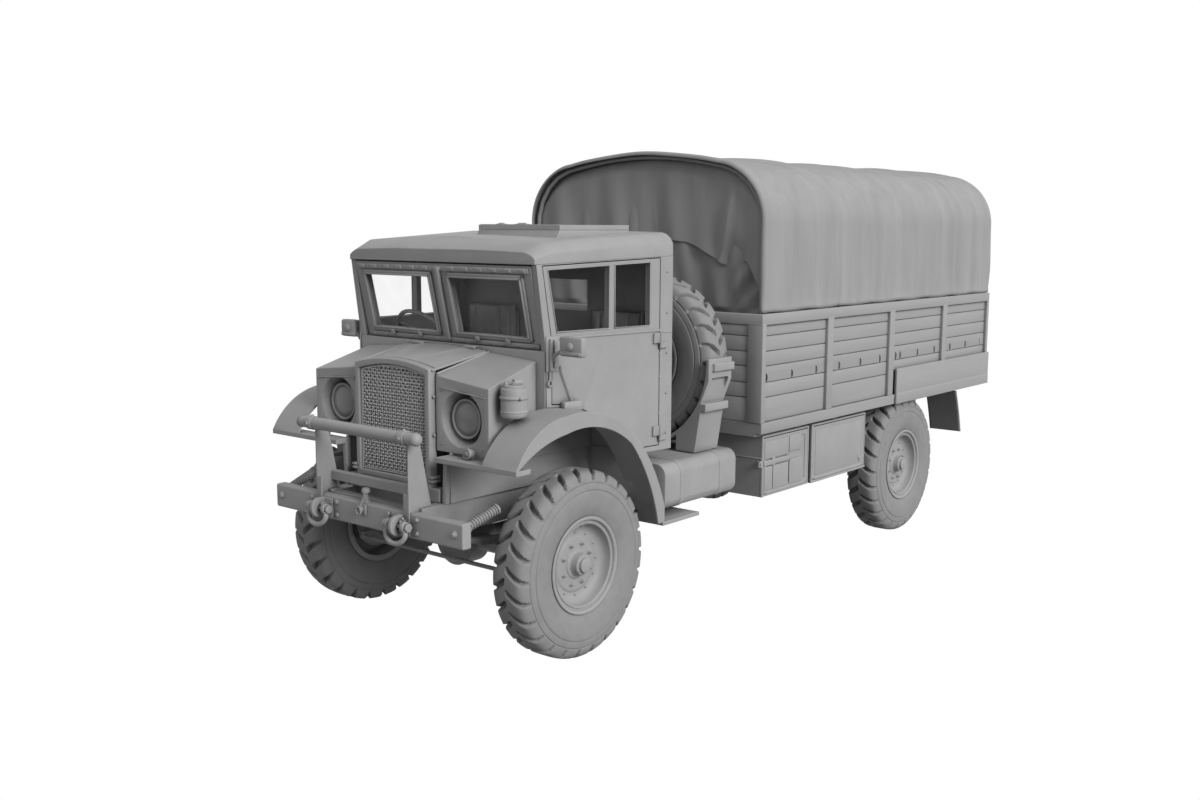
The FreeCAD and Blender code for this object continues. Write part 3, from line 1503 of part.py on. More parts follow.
def make_tanks():
    """The fuel tanks, hung from the rails on straps, with rounded long edges."""
    low, high = S.tank_low, S.tank_high
    corner = S.tank_corner
    body = prism("tank_body", "XZ", S.tank_front, S.tank_rear - S.tank_front, [
        (S.tank_inner, low),
        (S.tank_outer - corner, low),
        (S.tank_outer, low + corner, corner),
        (S.tank_outer, high - corner),
        (S.tank_outer - corner, high, corner),
        (S.tank_inner, high),
    ])
    bands = []
    thick = S.strap_thick
    for index, start in enumerate((S.tank_front + S.strap_inset,
                                   S.tank_rear - S.strap_inset - S.strap_wide)):
        bands.append(prism("tank_strap_%d" % index, "XZ", start, S.strap_wide, [
            (S.rail_out, low - thick),
            (S.tank_outer - corner, low - thick),
            (S.tank_outer + thick, low + corner, corner + thick),
            (S.tank_outer + thick, high - corner),
            (S.tank_outer - corner, high + thick, corner + thick),
            (S.tank_inner, high + thick),
            (S.tank_inner, high),
            (S.rail_out, S.rail_high),
        ]))
    keep("fuel_tanks", both("fuel_tanks", join("fuel_tank", body, *bands)))


def make_lockers():
    """The tool lockers under the body, open at their doors, and the drop-down doors."""
    wall = S.locker_wall
    shell = block("locker_shell", (S.locker_inner, S.locker_front, S.locker_low),
                  (S.locker_outer, S.locker_rear, S.locker_high))
    bays = []
    edges = [(S.locker_front, S.locker_split - S.locker_gap), (S.locker_split, S.locker_rear)]
    for index, (front, rear) in enumerate(edges):
        bays.append(block("locker_bay_%d" % index, (S.locker_inner + wall, front + wall, S.locker_low + wall),
                          (S.locker_outer + S.overrun, rear - wall, S.locker_high - wall)))
    bays.append(block("locker_groove", (S.locker_outer - S.locker_gap_deep, S.locker_split - S.locker_gap,
                                        S.locker_low - S.overrun),
                      (S.locker_outer + S.overrun, S.locker_split, S.locker_high + S.overrun)))
    hangers = []
    for index, place_along in enumerate((S.locker_front + S.cross_wide, S.locker_rear - S.cross_wide * 2)):
        hangers.append(block("locker_hanger_%d" % index, (S.rail_out, place_along, S.rail_low),
                             (S.locker_inner, place_along + S.cross_wide, S.rail_low + S.cross_wide)))
    keep("lockers", both("lockers", join("locker", cut("locker_open", shell, *bays), *hangers)))
    gap = S.running_gap
    names = ("front", "rear")
    for name, (front, rear) in zip(names, edges):
        hinge = S.locker_low + wall + gap
        panel = block("locker_panel_" + name,
                      (S.locker_outer - S.locker_door_thick, front + wall + gap, hinge),
                      (S.locker_outer, rear - wall - gap, S.locker_high - wall - gap))
        sunk = block("locker_sunk_" + name,
                     (S.locker_outer - S.locker_door_sunk, front + wall + gap + S.locker_frame,
                      hinge + S.locker_frame),
                     (S.locker_outer + S.overrun, rear - wall - gap - S.locker_frame,
                      S.locker_high - wall - gap - S.locker_frame))
        barrel = rod("locker_barrel_" + name, "Y",
                     (S.locker_outer, front + wall + gap + S.locker_frame, hinge),
                     rear - front - 2 * (wall + gap + S.locker_frame), gap - S.fit_gap)
        door = join("locker_door_" + name, cut("locker_face_" + name, panel, sunk), barrel)
        keep("locker_door_left_" + name, door)
        keep("locker_door_right_" + name, mirrored("locker_door_right_" + name, door))


def make_bed():
    """The cargo floor on its cross bearers, and the two runners that lie on the frame."""
    deck_low = S.bed_low + S.bed_rail - S.deck_thick
    deck_half = S.body_half - S.bed_rail_wide
    board_half = S.body_half - S.post_proud - S.side_wall - S.board_gap
    parts = [
        block("deck", (-deck_half, S.body_front, deck_low), (deck_half, S.body_rear - S.tailgate_thick,
                                                             S.bed_low + S.bed_rail)),
        block("deck_boards", (-board_half, S.body_front + S.side_wall + S.board_gap, S.bed_low + S.bed_rail),
              (board_half, S.body_rear - S.tailgate_thick - S.running_gap,
               S.bed_low + S.bed_rail + S.deck_board)),
    ]
    rail = join("bed_side_rail",
                block("bed_rail_front", (deck_half, S.body_front, S.bed_low),
                      (S.body_half, S.valance_front, S.bed_low + S.bed_rail)),
                block("bed_rail_rear", (deck_half, S.valance_front, deck_low),
                      (S.body_half, S.body_rear, S.bed_low + S.bed_rail)))
    parts += [rail, mirrored("bed_side_rail_right", rail)]
    bearer_low = S.rail_high + S.runner_high
    spread = (S.body_rear - S.body_front - S.bearer_wide) / (BEARER_COUNT - 1)
    for index in range(BEARER_COUNT):
        start = S.body_front + index * spread
        near_wheel = abs(start.number + S.bearer_wide.number / 2 - REAR_AXLE.number) < S.wheel_bearer_reach.number
        half = S.wheel_bearer_half if near_wheel else deck_half
        parts.append(block("bearer_%d" % index, (-half, start, bearer_low),
                           (half, start + S.bearer_wide, deck_low)))
    runner = block("runner", (S.runner_place, S.body_front, S.rail_high),
                   (S.rail_out, S.body_rear - S.bearer_wide / 2, bearer_low))
    parts += [runner, mirrored("runner_right", runner)]
    parts.append(block("rear_sill", (-deck_half, S.body_rear - S.tailgate_thick, S.bed_low),
                       (deck_half, S.body_rear, S.bed_low + S.bed_rail)))
    parts.append(block("front_sill", (-deck_half, S.body_front, S.bed_low),
                       (deck_half, S.body_front + S.side_wall, S.bed_low + S.bed_rail)))
    keep("cargo_bed", join("cargo_bed", *parts))


def plank_lines(name, plane, level, start, end, base):
    """Thin tools that score the joints between planks."""
    lines = []
    for index in range(1, PLANK_COUNT + 1):
        height = base + index * S.plank_height - S.plank_groove / 2
        if plane == "side":
            lines.append(block("%s_%d" % (name, index), (level - S.plank_depth, start, height),
                               (level + S.overrun, end, height + S.plank_groove)))
        else:
            lines.append(block("%s_%d" % (name, index), (start, level, height),
                               (end, level + S.plank_depth, height + S.plank_groove)))
    return lines


def make_sides():
    """The planked sides and headboard with their posts and top rails."""
    base = S.bed_low + S.bed_rail
    outer = S.body_half - S.post_proud
    inner = outer - S.side_wall
    wall = block("side_wall", (inner, S.body_front, base), (outer, S.body_rear, S.side_high))
    wall = cut("side_scored", wall, *plank_lines("side_line", "side", outer, S.body_front - S.overrun,
                                                 S.body_rear + S.overrun, base))
    parts = [wall]
    posts = (
        (S.body_front, S.corner_post_wide),
        (S.post_front_place, S.post_wide),
        (S.post_second_place, S.post_wide),
        (S.post_third_place, S.post_wide),
        (S.body_rear - S.corner_post_wide, S.corner_post_wide),
    )
    for index, (start, wide) in enumerate(posts):
        parts.append(block("side_post_%d" % index, (inner, start, base),
                           (S.body_half, start + wide, S.side_high)))
    parts.append(block("side_top_rail", (inner, S.body_front, S.side_high - S.top_rail),
                       (S.body_half, S.body_rear, S.side_high)))
    parts.append(block("side_valance", (S.body_half, S.valance_front, S.bed_low),
                       (S.body_half + S.valance_thick, S.body_rear, S.valance_high)))
    side = join("body_side", *parts)
    board = block("headboard", (-inner, S.body_front, base), (inner, S.body_front + S.side_wall, S.side_high))
    face = S.body_front - S.head_board_proud
    plank_half = S.body_half - S.head_board_wide
    lines = plank_lines("head_line", "front", S.body_front, -plank_half, plank_half, base)
    board = cut("headboard_scored", board, *lines)
    edge = block("head_edge_board", (plank_half, face, base), (S.body_half, S.body_front, S.side_high))
    rail = block("head_top_rail", (-plank_half, face, S.side_high - S.top_rail),
                 (plank_half, S.body_front, S.side_high))
    keep("cargo_sides", join("cargo_sides", side, mirrored("body_side_right", side), board,
                             edge, mirrored("head_edge_board_right", edge), rail))
    gate_low = base + S.tailgate_gap
    gate_half = inner - S.tailgate_gap
    front = S.body_rear - S.tailgate_thick
    gate = block("gate_panel", (-gate_half, front, gate_low), (gate_half, S.body_rear, S.side_high))
    lines = []
    for index in range(1, PLANK_COUNT + 1):
        height = base + index * S.plank_height - S.plank_groove / 2
        lines.append(block("gate_line_%d" % index, (-gate_half - S.overrun, S.body_rear - S.plank_depth, height),
                           (gate_half + S.overrun, S.body_rear + S.overrun, height + S.plank_groove)))
    barrel = rod("gate_barrel", "X", (-gate_half, S.body_rear, gate_low), 2 * gate_half,
                 S.tailgate_gap - S.fit_gap)
    keep("tailgate", join("tailgate", cut("gate_scored", gate, *lines), barrel))


def canopy_section(inset, foot):
    """The canopy seen from the front, drawn inset from its outer face."""
    half = S.canopy_half - inset
    corner_side = S.canopy_corner_place - inset
    corner_high = S.canopy_corner_height - inset
    return [
        (-half, foot),
        (half, foot),
        (half, S.canopy_haunch),
        (corner_side, corner_high, S.canopy_corner_radius - inset),
        (-corner_side, corner_high, crown_radius(corner_side, S.canopy_crown)),
        (-half, S.canopy_haunch, S.canopy_corner_radius - inset),
    ]


def make_canopy():
    """The canvas canopy as a closed shell with its curtain at the front, open at the rear."""
    foot = S.side_high + S.fit_gap
    outer = prism("canopy_outer", "XZ", S.body_front, S.body_rear - S.body_front, canopy_section(0, foot))
    inner = prism("canopy_inner", "XZ", S.body_front + S.canopy_recess + S.canopy_skin,
                  S.body_rear - S.body_front, canopy_section(S.canopy_skin, foot - S.overrun))
    porch = prism("canopy_porch", "XZ", S.body_front - S.overrun, S.canopy_recess + S.overrun,
                  canopy_section(S.canopy_skin * 2, foot + S.canopy_skin))
    keep("canopy", cut("canopy", outer, inner, porch))


def make_spare_carrier():
    """The cradle round the spare wheel's outer tread, footed on the tank and on the frame."""
    inner = root(S.tyre_radius * S.tyre_radius + S.lug_wide * S.lug_wide / 4) + S.fit_gap
    outer = inner + S.cradle_thick
    front, wide = S.cradle_front, S.cradle_rear - S.cradle_front
    foot = S.tank_high + S.strap_thick + S.fit_gap
    side = S.spare_side
    waist_out = root(outer * outer - (S.spare_height - S.cradle_waist) * (S.spare_height - S.cradle_waist))
    flange_low = S.cradle_waist - S.cradle_flange
    body = prism("cradle_body", "XZ", front, wide, [
        (side + S.cradle_foot_inner, foot),
        (side + S.cradle_foot_outer, foot),
        (side + waist_out, flange_low),
        (side + waist_out + S.cradle_flange_out, flange_low),
        (side + waist_out + S.cradle_flange_out, S.cradle_waist),
        (side + waist_out, S.cradle_waist),
        (side + outer, S.cradle_shoulder),
        (side + outer, S.cradle_top),
        (side + S.cradle_foot_inner, S.cradle_top),
    ])
    tread = rod("cradle_tread", "Y", (side, front - S.overrun, S.spare_height),
                wide + 2 * S.overrun, inner)
    below = cut("cradle_below", rod("cradle_round", "Y", (side, front, S.spare_height), wide, outer),
                block("cradle_above", (side - outer - S.overrun, front - S.overrun, flange_low),
                      (side + outer + S.overrun, S.cradle_rear + S.overrun,
                       S.spare_height + outer + S.overrun)),
                block("cradle_beyond", (side - outer - S.overrun, front - S.overrun,
                                        S.spare_height - outer - S.overrun),
                      (S.rail_out - S.rail_flange, S.cradle_rear + S.overrun, S.spare_height + outer)))
    window = block("cradle_window", (side + outer - S.cradle_window_deep, front + S.cradle_window_side,
                                     S.cradle_window_low),
                   (side + outer + S.overrun, S.cradle_rear - S.cradle_window_side, S.cradle_window_high))
    grip = block("cradle_grip", (side + outer, front + S.cradle_window_side, S.cradle_grip_high),
                 (side + outer + S.cradle_thick, S.cradle_rear, S.cradle_grip_high + S.cradle_flange))
    leg = block("cradle_leg", (S.rail_out - S.rail_flange, front, S.rail_high),
                (S.rail_out, S.cradle_rear, S.spare_height - inner))
    cradle = cut("cradle_shape", join("cradle_whole", body, below, leg), tread, window)
    keep("spare_carrier", join("spare_carrier", cradle, grip))


def make_inside():
    """Seats, dashboard with its column, and the steering wheel on the right-hand side."""
    pan = block("seat_pan", (S.seat_inner, S.seat_front, S.seat_low),
                (S.seat_outer, S.seat_rear, S.seat_low + S.seat_cushion))
    back = block("seat_back", (S.seat_inner, S.seat_rear, S.seat_low),
                 (S.seat_outer, S.seat_rear + S.seat_back_thick, S.seat_back_high))
    pedestal = block("seat_pedestal", (S.seat_pedestal_inner, S.seat_pedestal_front, S.arch_floor + S.sheet),
                     (S.seat_outer - S.sheet, S.seat_rear, S.seat_low))
    seat = join("seat", pan, back, pedestal)
    keep("seats", both("seats", seat))
    inner_front = S.cowl_front + S.cowl_wall
    half = S.cab_front_half - S.cab_wall * 2
    board = block("dash_board", (-half, inner_front, S.dash_low), (half, S.dash_rear, S.dash_high))
    rise = Size(math.sin(math.radians(S.column_lean.number)), "sin(Sizes.column_lean)")
    run = Size(math.cos(math.radians(S.column_lean.number)), "cos(Sizes.column_lean)")
    top = S.column_radius * 2 + S.fit_gap
    shaft = (S.wheel_hub_place - inner_front) / run - S.column_radius
    column = strut(
        "column",
        (S.wheel_hub_side, S.wheel_hub_place - run * shaft, S.wheel_hub_height - rise * shaft),
        (S.wheel_hub_side, S.wheel_hub_place - run * top, S.wheel_hub_height - rise * top),
        S.column_radius,
    )
    keep("dashboard", join("dashboard", board, column))


def make_steering_wheel():
    """The steering wheel, square to its column."""
    hub = (S.wheel_hub_side, S.wheel_hub_place, S.wheel_hub_height)
    half = S.steer_rim_radius
    flat = half * (math.sqrt(2) - 1)
    octagon = [(-flat, -half), (flat, -half), (half, -flat), (half, flat),
               (flat, half), (-flat, half), (-half, flat), (-half, -flat)]
    ring = turned("steer_ring", [(along, out + S.steer_wheel_radius) for along, out in octagon])
    lean(ring, Vector(0, 1, 0), 90)
    boss = rod("steer_boss", "Z", (0, 0, -S.column_radius * 2), S.column_radius * 3, S.column_radius * 2)
    parts = [ring, boss]
    for index in range(SPOKE_COUNT):
        spoke = doc.addObject("Part::Cylinder", "steer_spoke_%d" % index)
        bind(spoke, "Radius", S.steer_spoke_radius)
        bind(spoke, "Height", S.steer_wheel_radius)
        turn = Rotation(Vector(0, 0, 1), 90 + 360 / SPOKE_COUNT * index) * FACING["X"]
        spoke.Placement = Placement(Vector(), turn)
        parts.append(spoke)
    wheel = join("steering_wheel", *parts)
    lean(wheel, Vector(1, 0, 0), S.column_lean - 90)
    place(wheel, *hub)
    keep("steering_wheel", wheel)


def make_driveline():
    """The transfer case under its crossmembers, the propeller shafts and the exhaust."""
    low, high = S.transfer_low, S.cross_low
    case = block("transfer_case", (-S.transfer_half, S.transfer_front, low),
                 (S.transfer_half, S.transfer_rear, high))
    nose_end = S.banjo_half + S.pinion_long + S.fit_gap
    front_end = S.front_axle_place + nose_end
    front_shaft = rod("front_shaft", "Y", (0, front_end, S.tyre_radius), S.transfer_front - front_end,
                      S.shaft_radius)
    rear_shaft = rod("rear_shaft", "Y", (0, S.transfer_rear, S.tyre_radius),
                     REAR_AXLE - nose_end - S.transfer_rear, S.shaft_radius)
    keep("driveline", join("driveline", case, front_shaft, rear_shaft))
    muffler = rod("muffler", "Y", (S.muffler_place, S.muffler_front, S.muffler_height),
                  S.muffler_rear - S.muffler_front, S.muffler_radius)
    pipe = rod("tailpipe", "Y", (S.muffler_place, S.muffler_rear - S.overrun, S.muffler_height),
               S.tailpipe_end - S.muffler_rear, S.tailpipe_radius)
    hanger = block("muffler_hanger", (S.muffler_place - S.tailpipe_radius, S.locker_split - S.cross_wide / 2,
                                      S.muffler_height),
                   (S.muffler_place + S.tailpipe_radius, S.locker_split - S.cross_wide / 2 + S.cross_wall,
                    S.cross_low - S.fit_gap))
    keep("exhaust", join("exhaust", muffler, pipe, hanger))


def make_fittings():
    """Air cleaner, mirrors, tow shackles, pintle and rear mudflaps."""
    stand = S.air_cleaner_stand
    share = (S.air_cleaner_place - S.nose_front) / (S.cowl_front - S.nose_front)
    wall = S.nose_outer + (S.nose_outer_rear - S.nose_outer) * share
    centre = wall + S.air_cleaner_radius + stand
    can = rod("cleaner_can", "Z", (centre, S.air_cleaner_place, S.air_cleaner_low),
              S.air_cleaner_high - S.air_cleaner_low, S.air_cleaner_radius)
    clip = block("cleaner_clip", (wall + S.panel_gap, S.air_cleaner_place - stand, S.air_cleaner_low + stand),
                 (centre, S.air_cleaner_place + stand, S.air_cleaner_high - stand))
    high = S.air_cleaner_high
    band = rod("cleaner_band", "Z", (centre, S.air_cleaner_place, high - S.cleaner_band_drop),
               S.cleaner_band_high, S.air_cleaner_radius + S.cleaner_band_proud)
    lid = rod("cleaner_lid", "Z", (centre, S.air_cleaner_place, high), S.cleaner_lid_high, S.cleaner_lid_radius)
    knob = rod("cleaner_knob", "Z", (centre, S.air_cleaner_place, high + S.cleaner_lid_high),
               S.cleaner_knob_high, S.cleaner_knob_radius)
    keep("air_cleaner", join("air_cleaner", can, clip, band, lid, knob))
    eye_place = S.bumper_front - S.shackle_wide / 2
    round_low, round_high = S.bumper_low + S.bumper_corner, S.bumper_high - S.bumper_corner
    plate = prism("shackle_plate", "YZ", S.shackle_place - S.shackle_thick / 2, S.shackle_thick, [
        (eye_place, round_low, (round_high - round_low) / 2),
        (S.bumper_front - S.fit_gap, round_low),
        (S.bumper_front - S.fit_gap, round_high),
        (eye_place, round_high),
        (eye_place - (round_high - round_low) / 2, (round_low + round_high) / 2, (round_high - round_low) / 2),
    ])
    pad_end = S.shackle_place + S.shackle_thick / 2
    pad = block("shackle_pad", (pad_end - S.shackle_pad_long, S.bumper_front - S.shackle_pad_thick, round_low),
                (pad_end, S.bumper_front - S.fit_gap, round_high))
    eye = rod("shackle_eye", "X", (S.shackle_place - S.shackle_thick, S.bumper_front - S.shackle_wide / 2,
                                   (S.bumper_low + S.bumper_high) / 2),
              S.shackle_thick * 2, S.shackle_bore)
    shackle = cut("tow_eye", join("shackle_whole", plate, pad), eye)
    web = S.frame_rear - S.cross_wide * 1.5 + S.cross_wall
    pintle = rod("pintle", "Y", (0, web, (S.cross_low + S.rail_high) / 2), S.frame_rear - web + S.pintle_long,
                 S.pintle_radius)
    keep("tow_fittings", gathered("tow_fittings", shackle, mirrored("tow_eye_right", shackle), pintle))
    flap = prism("mudflap", "YZ", S.mudflap_inner, S.locker_outer - S.mudflap_inner, [
        (S.mudflap_place, S.mudflap_high - S.fit_gap),
        (S.mudflap_foot_place, S.mudflap_low),
        (S.mudflap_foot_place + S.mudflap_thick, S.mudflap_low),
        (S.mudflap_place + S.mudflap_thick, S.mudflap_high - S.fit_gap),
    ])
    keep("mudflaps", both("mudflaps", flap))


def check_and_export():
    """Stops if any object failed, then writes each sub-part to its own file."""
    doc.recompute()
    for item in doc.Objects:
        bad = [state for state in item.State if state in ("Invalid", "Error")]
        if bad:
            raise RuntimeError("%s is %s" % (item.Name, bad))
    os.makedirs("parts", exist_ok=True)
    for name, item in PIECES.items():
        shape = item.Shape
        if shape.isNull() or not shape.isValid() or not shape.Solids:
            raise RuntimeError("%s has no valid solid" % name)
    for name, item in PIECES.items():
        item.Shape.exportStep("parts/%s.step" % name)


make_frame()
make_bumper()
make_axles()
make_steering()
make_springs()
make_wheels()
make_grille()
make_nose()
make_bonnet()
side = make_cab_sides()
make_doors()
make_cab_front(side)
make_cab_floor()
make_roof()
make_fenders()
make_tanks()
make_lockers()
make_bed()
make_sides()
make_canopy()
make_spare_carrier()
make_inside()
make_steering_wheel()
make_driveline()
make_fittings()
check_and_export()
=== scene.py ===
"""A forward-control military cargo truck with a canvas canopy, dressed for close views.

Metres, +Z up. The truck faces -Y and its left side is +X.
"""
import json
from math import atan2, cos, exp, pi, radians, sin, sqrt

import bmesh
import bpy
import numpy as np
from mathutils import Matrix, Vector


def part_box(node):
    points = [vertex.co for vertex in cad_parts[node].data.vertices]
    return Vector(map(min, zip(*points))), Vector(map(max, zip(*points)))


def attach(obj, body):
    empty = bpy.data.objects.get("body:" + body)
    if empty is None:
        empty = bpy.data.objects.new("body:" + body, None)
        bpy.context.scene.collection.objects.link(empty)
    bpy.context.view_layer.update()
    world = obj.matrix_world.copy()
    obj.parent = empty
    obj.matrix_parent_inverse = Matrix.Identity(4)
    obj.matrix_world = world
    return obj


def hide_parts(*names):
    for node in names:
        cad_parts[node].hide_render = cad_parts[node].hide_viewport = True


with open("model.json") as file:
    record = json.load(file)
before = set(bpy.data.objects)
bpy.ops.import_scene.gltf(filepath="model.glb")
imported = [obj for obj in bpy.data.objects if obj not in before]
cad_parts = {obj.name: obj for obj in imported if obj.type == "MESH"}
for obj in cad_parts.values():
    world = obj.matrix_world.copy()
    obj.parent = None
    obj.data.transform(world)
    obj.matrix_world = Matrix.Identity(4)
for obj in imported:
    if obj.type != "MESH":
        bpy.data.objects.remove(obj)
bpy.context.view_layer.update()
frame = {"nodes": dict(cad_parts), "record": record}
NODES = frame["nodes"]
BODY_OF = {
    name: body
    for body, names in frame["record"]["behaviour"]["bodies"].items()
    for name in names
}
SLOT_OF = {entry["node"]: entry["material_slot"] for entry in frame["record"]["subparts"]}
TAU = 2 * pi
SIDES = ((1, "left"), (-1, "right"))
FORWARD, REARWARD, UP, OUT = (0, -1, 0), (0, 1, 0), (0, 0, 1), (1, 0, 0)

# Places and sizes of the truck that its fittings follow
FRONT_AXLE = -2.33
REAR_AXLE = 1.69
TYRE_RADIUS = 0.55
TRACK_HALF = 0.889
BODY_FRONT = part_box("canopy")[0].y
BODY_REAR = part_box("cargo_sides")[1].y
SIDE_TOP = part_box("cargo_sides")[1].z
BODY_HALF = 1.06
CAB_REAR = -1.404
CAB_FRONT = -2.527
CAB_REAR_HALF = 0.916
CAB_FRONT_HALF = 0.7955
TAPER = atan2(CAB_REAR_HALF - CAB_FRONT_HALF, CAB_REAR - CAB_FRONT)
NOSE_FACE = -2.851
LOCKER_FACE = 1.014
BUMPER_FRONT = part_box("front_bumper")[0].y
BUMPER_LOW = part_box("front_bumper")[0].z
BUMPER_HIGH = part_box("front_bumper")[1].z
BUMPER_MIDDLE = (BUMPER_LOW + BUMPER_HIGH) / 2


# Materials
def node(tree, kind, **settings):
    """A shader node with some of its settings and unlinked inputs filled in."""
    made = tree.nodes.new("ShaderNode" + kind)
    for key, value in settings.items():
        if hasattr(made, key) and key not in made.inputs:
            setattr(made, key, value)
        else:
            made.inputs[key.replace("_", " ")].default_value = value
    return made


def spread(tree, source, to_low, to_high, low=0.0, high=1.0):
    """The output of a node that maps low to high onto to_low to to_high."""
    made = node(tree, "MapRange", From_Min=low, From_Max=high, To_Min=to_low, To_Max=to_high)
    tree.links.new(source, made.inputs["Value"])
    return made.outputs["Result"]


def maths(tree, operation, first, second):
    """The output of a maths node on an output and another output or a number."""
    made = node(tree, "Math", operation=operation)
    tree.links.new(first, made.inputs[0])
    if isinstance(second, float):
        made.inputs[1].default_value = second
    else:
        tree.links.new(second, made.inputs[1])
    return made.outputs[0]


def blank_material(name):
    """A new material with its node tree and its shader."""
    made = bpy.data.materials.new(name)
    made.use_nodes = True
    return made, made.node_tree, made.node_tree.nodes["Principled BSDF"]


def finish(name, tone, roughness, mottle=0.06, mottle_scale=5.0, grain=0.0006, grain_scale=260.0,
           stretch=(1, 1, 1), edge=0.46, round_edge=0.007, top_lift=0.05, crease_shade=0.58):
    """Paint, cloth, rubber or timber: a mottled tone and fine grain, a painted highlight along every edge,
    upward-facing faces made lighter, and painted shade in creases and corners.
    """
    made, tree, shader = blank_material(name)
    link = tree.links.new
    coords = node(tree, "TexCoord")
    scaled = node(tree, "VectorMath", operation="MULTIPLY")
    scaled.inputs[1].default_value = stretch
    link(coords.outputs["Object"], scaled.inputs[0])
    broad = node(tree, "TexNoise", Scale=mottle_scale, Detail=7.0, Roughness=0.62)
    fine = node(tree, "TexNoise", Scale=grain_scale, Detail=3.0, Roughness=0.6)
    for noise in (broad, fine):
        link(scaled.outputs[0], noise.inputs["Vector"])
    tones = spread(tree, broad.outputs["Fac"], tone * (1 - mottle), tone * (1 + mottle), 0.3, 0.7)
    rounded = node(tree, "Bevel", samples=6, Radius=round_edge)
    geometry = node(tree, "NewGeometry")
    facing = node(tree, "VectorMath", operation="DOT_PRODUCT")
    link(rounded.outputs["Normal"], facing.inputs[0])
    link(geometry.outputs["Normal"], facing.inputs[1])
    # Painted highlight: a lighter band along every edge, where the bevelled normal turns away from the face's
    # own normal.
    edge_highlight = spread(tree, facing.outputs["Value"], edge, 0.0, 0.7, 0.995)
    upward = node(tree, "SeparateXYZ")
    link(geometry.outputs["Normal"], upward.inputs[0])
    # Upward-facing faces are made lighter, most where they point straight up.
    upward_lift = spread(tree, upward.outputs["Z"], 0.0, top_lift, 0.55, 1.0)
    gain = maths(tree, "ADD", maths(tree, "ADD", edge_highlight, upward_lift), 1.0)
    shade = maths(tree, "MULTIPLY", tones, gain)
    # Painted shade: the tone is darkened in creases, corners and recesses where ambient occlusion finds other
    # surfaces close by.
    corner = node(tree, "AmbientOcclusion", samples=6, Distance=0.07)
    crease_shade_gain = spread(tree, corner.outputs["AO"], 1 - crease_shade, 1.0, 0.15, 0.8)
    tone_with_painted_light = maths(tree, "MULTIPLY", shade, crease_shade_gain)
    colour = node(tree, "CombineColor")
    for letter in ("Red", "Green", "Blue"):
        link(tone_with_painted_light, colour.inputs[letter])
    link(colour.outputs[0], shader.inputs["Base Color"])
    link(spread(tree, broad.outputs["Fac"], roughness - 0.07, roughness + 0.07), shader.inputs["Roughness"])
    bump = node(tree, "Bump", Strength=0.6, Distance=grain)
    link(fine.outputs["Fac"], bump.inputs["Height"])
    link(rounded.outputs["Normal"], bump.inputs["Normal"])
    link(bump.outputs["Normal"], shader.inputs["Normal"])
    return made


def clear_glass():
    """Thin window glass: almost all of it is seen through."""
    made, tree, shader = blank_material("window_glass")
    coords = node(tree, "TexCoord")
    film = node(tree, "TexNoise", Scale=9.0, Detail=4.0)
    tree.links.new(coords.outputs["Object"], film.inputs["Vector"])
    tree.links.new(spread(tree, film.outputs["Fac"], 0.02, 0.09), shader.inputs["Alpha"])
    shader.inputs["Base Color"].default_value = (0.6, 0.6, 0.6, 1)
    shader.inputs["Roughness"].default_value = 0.08
    return made


MATERIALS = {
    "body_paint": finish("painted_steel", 0.345, 0.6),
    "chassis_paint": finish("chassis_steel", 0.3, 0.64, mottle=0.1, mottle_scale=9.0, grain=0.001),
    "tyre_rubber": finish("tyre_rubber", 0.27, 0.78, mottle=0.08, mottle_scale=14.0, grain=0.0009,
                          grain_scale=420.0, edge=0.22, round_edge=0.003, top_lift=0.06),
    # The canvas's random tone is stretched into upright streaks. These are partly the cloth's own tone and
    # partly painted light and shade of its folds.
    "canvas": finish("canopy_canvas", 0.345, 0.88, mottle=0.1, mottle_scale=7.0, grain=0.0008,
                     grain_scale=700.0, stretch=(1, 1, 0.1), edge=0.05, round_edge=0.003, top_lift=0.04),
    "painted_timber": finish("painted_timber", 0.35, 0.7, mottle=0.07, mottle_scale=6.0, grain=0.001,
                             grain_scale=90.0, stretch=(1, 0.08, 1)),
    "trim_leather": finish("seat_leather", 0.27, 0.52, mottle=0.1, mottle_scale=18.0, grain=0.0012,
                           grain_scale=330.0, edge=0.1),
    "flap_rubber": finish("flap_rubber", 0.3, 0.82, mottle_scale=10.0, grain=0.0008, grain_scale=380.0),
    "wire_mesh": finish("woven_wire", 0.6, 0.45, mottle=0.12, mottle_scale=60.0, grain=0.0003,
                        grain_scale=900.0, round_edge=0.001),
    "lamp_metal": finish("lamp_metal", 0.33, 0.45, mottle=0.05, mottle_scale=12.0),
    "mechanical": finish("cast_metal", 0.18, 0.66, mottle=0.14, mottle_scale=16.0, grain=0.0016,
                         grain_scale=150.0),
    "glass": clear_glass(),
}
LENS = finish("lamp_lens", 0.205, 0.3, mottle=0.04, mottle_scale=30.0, grain=0.0002, edge=0.05)


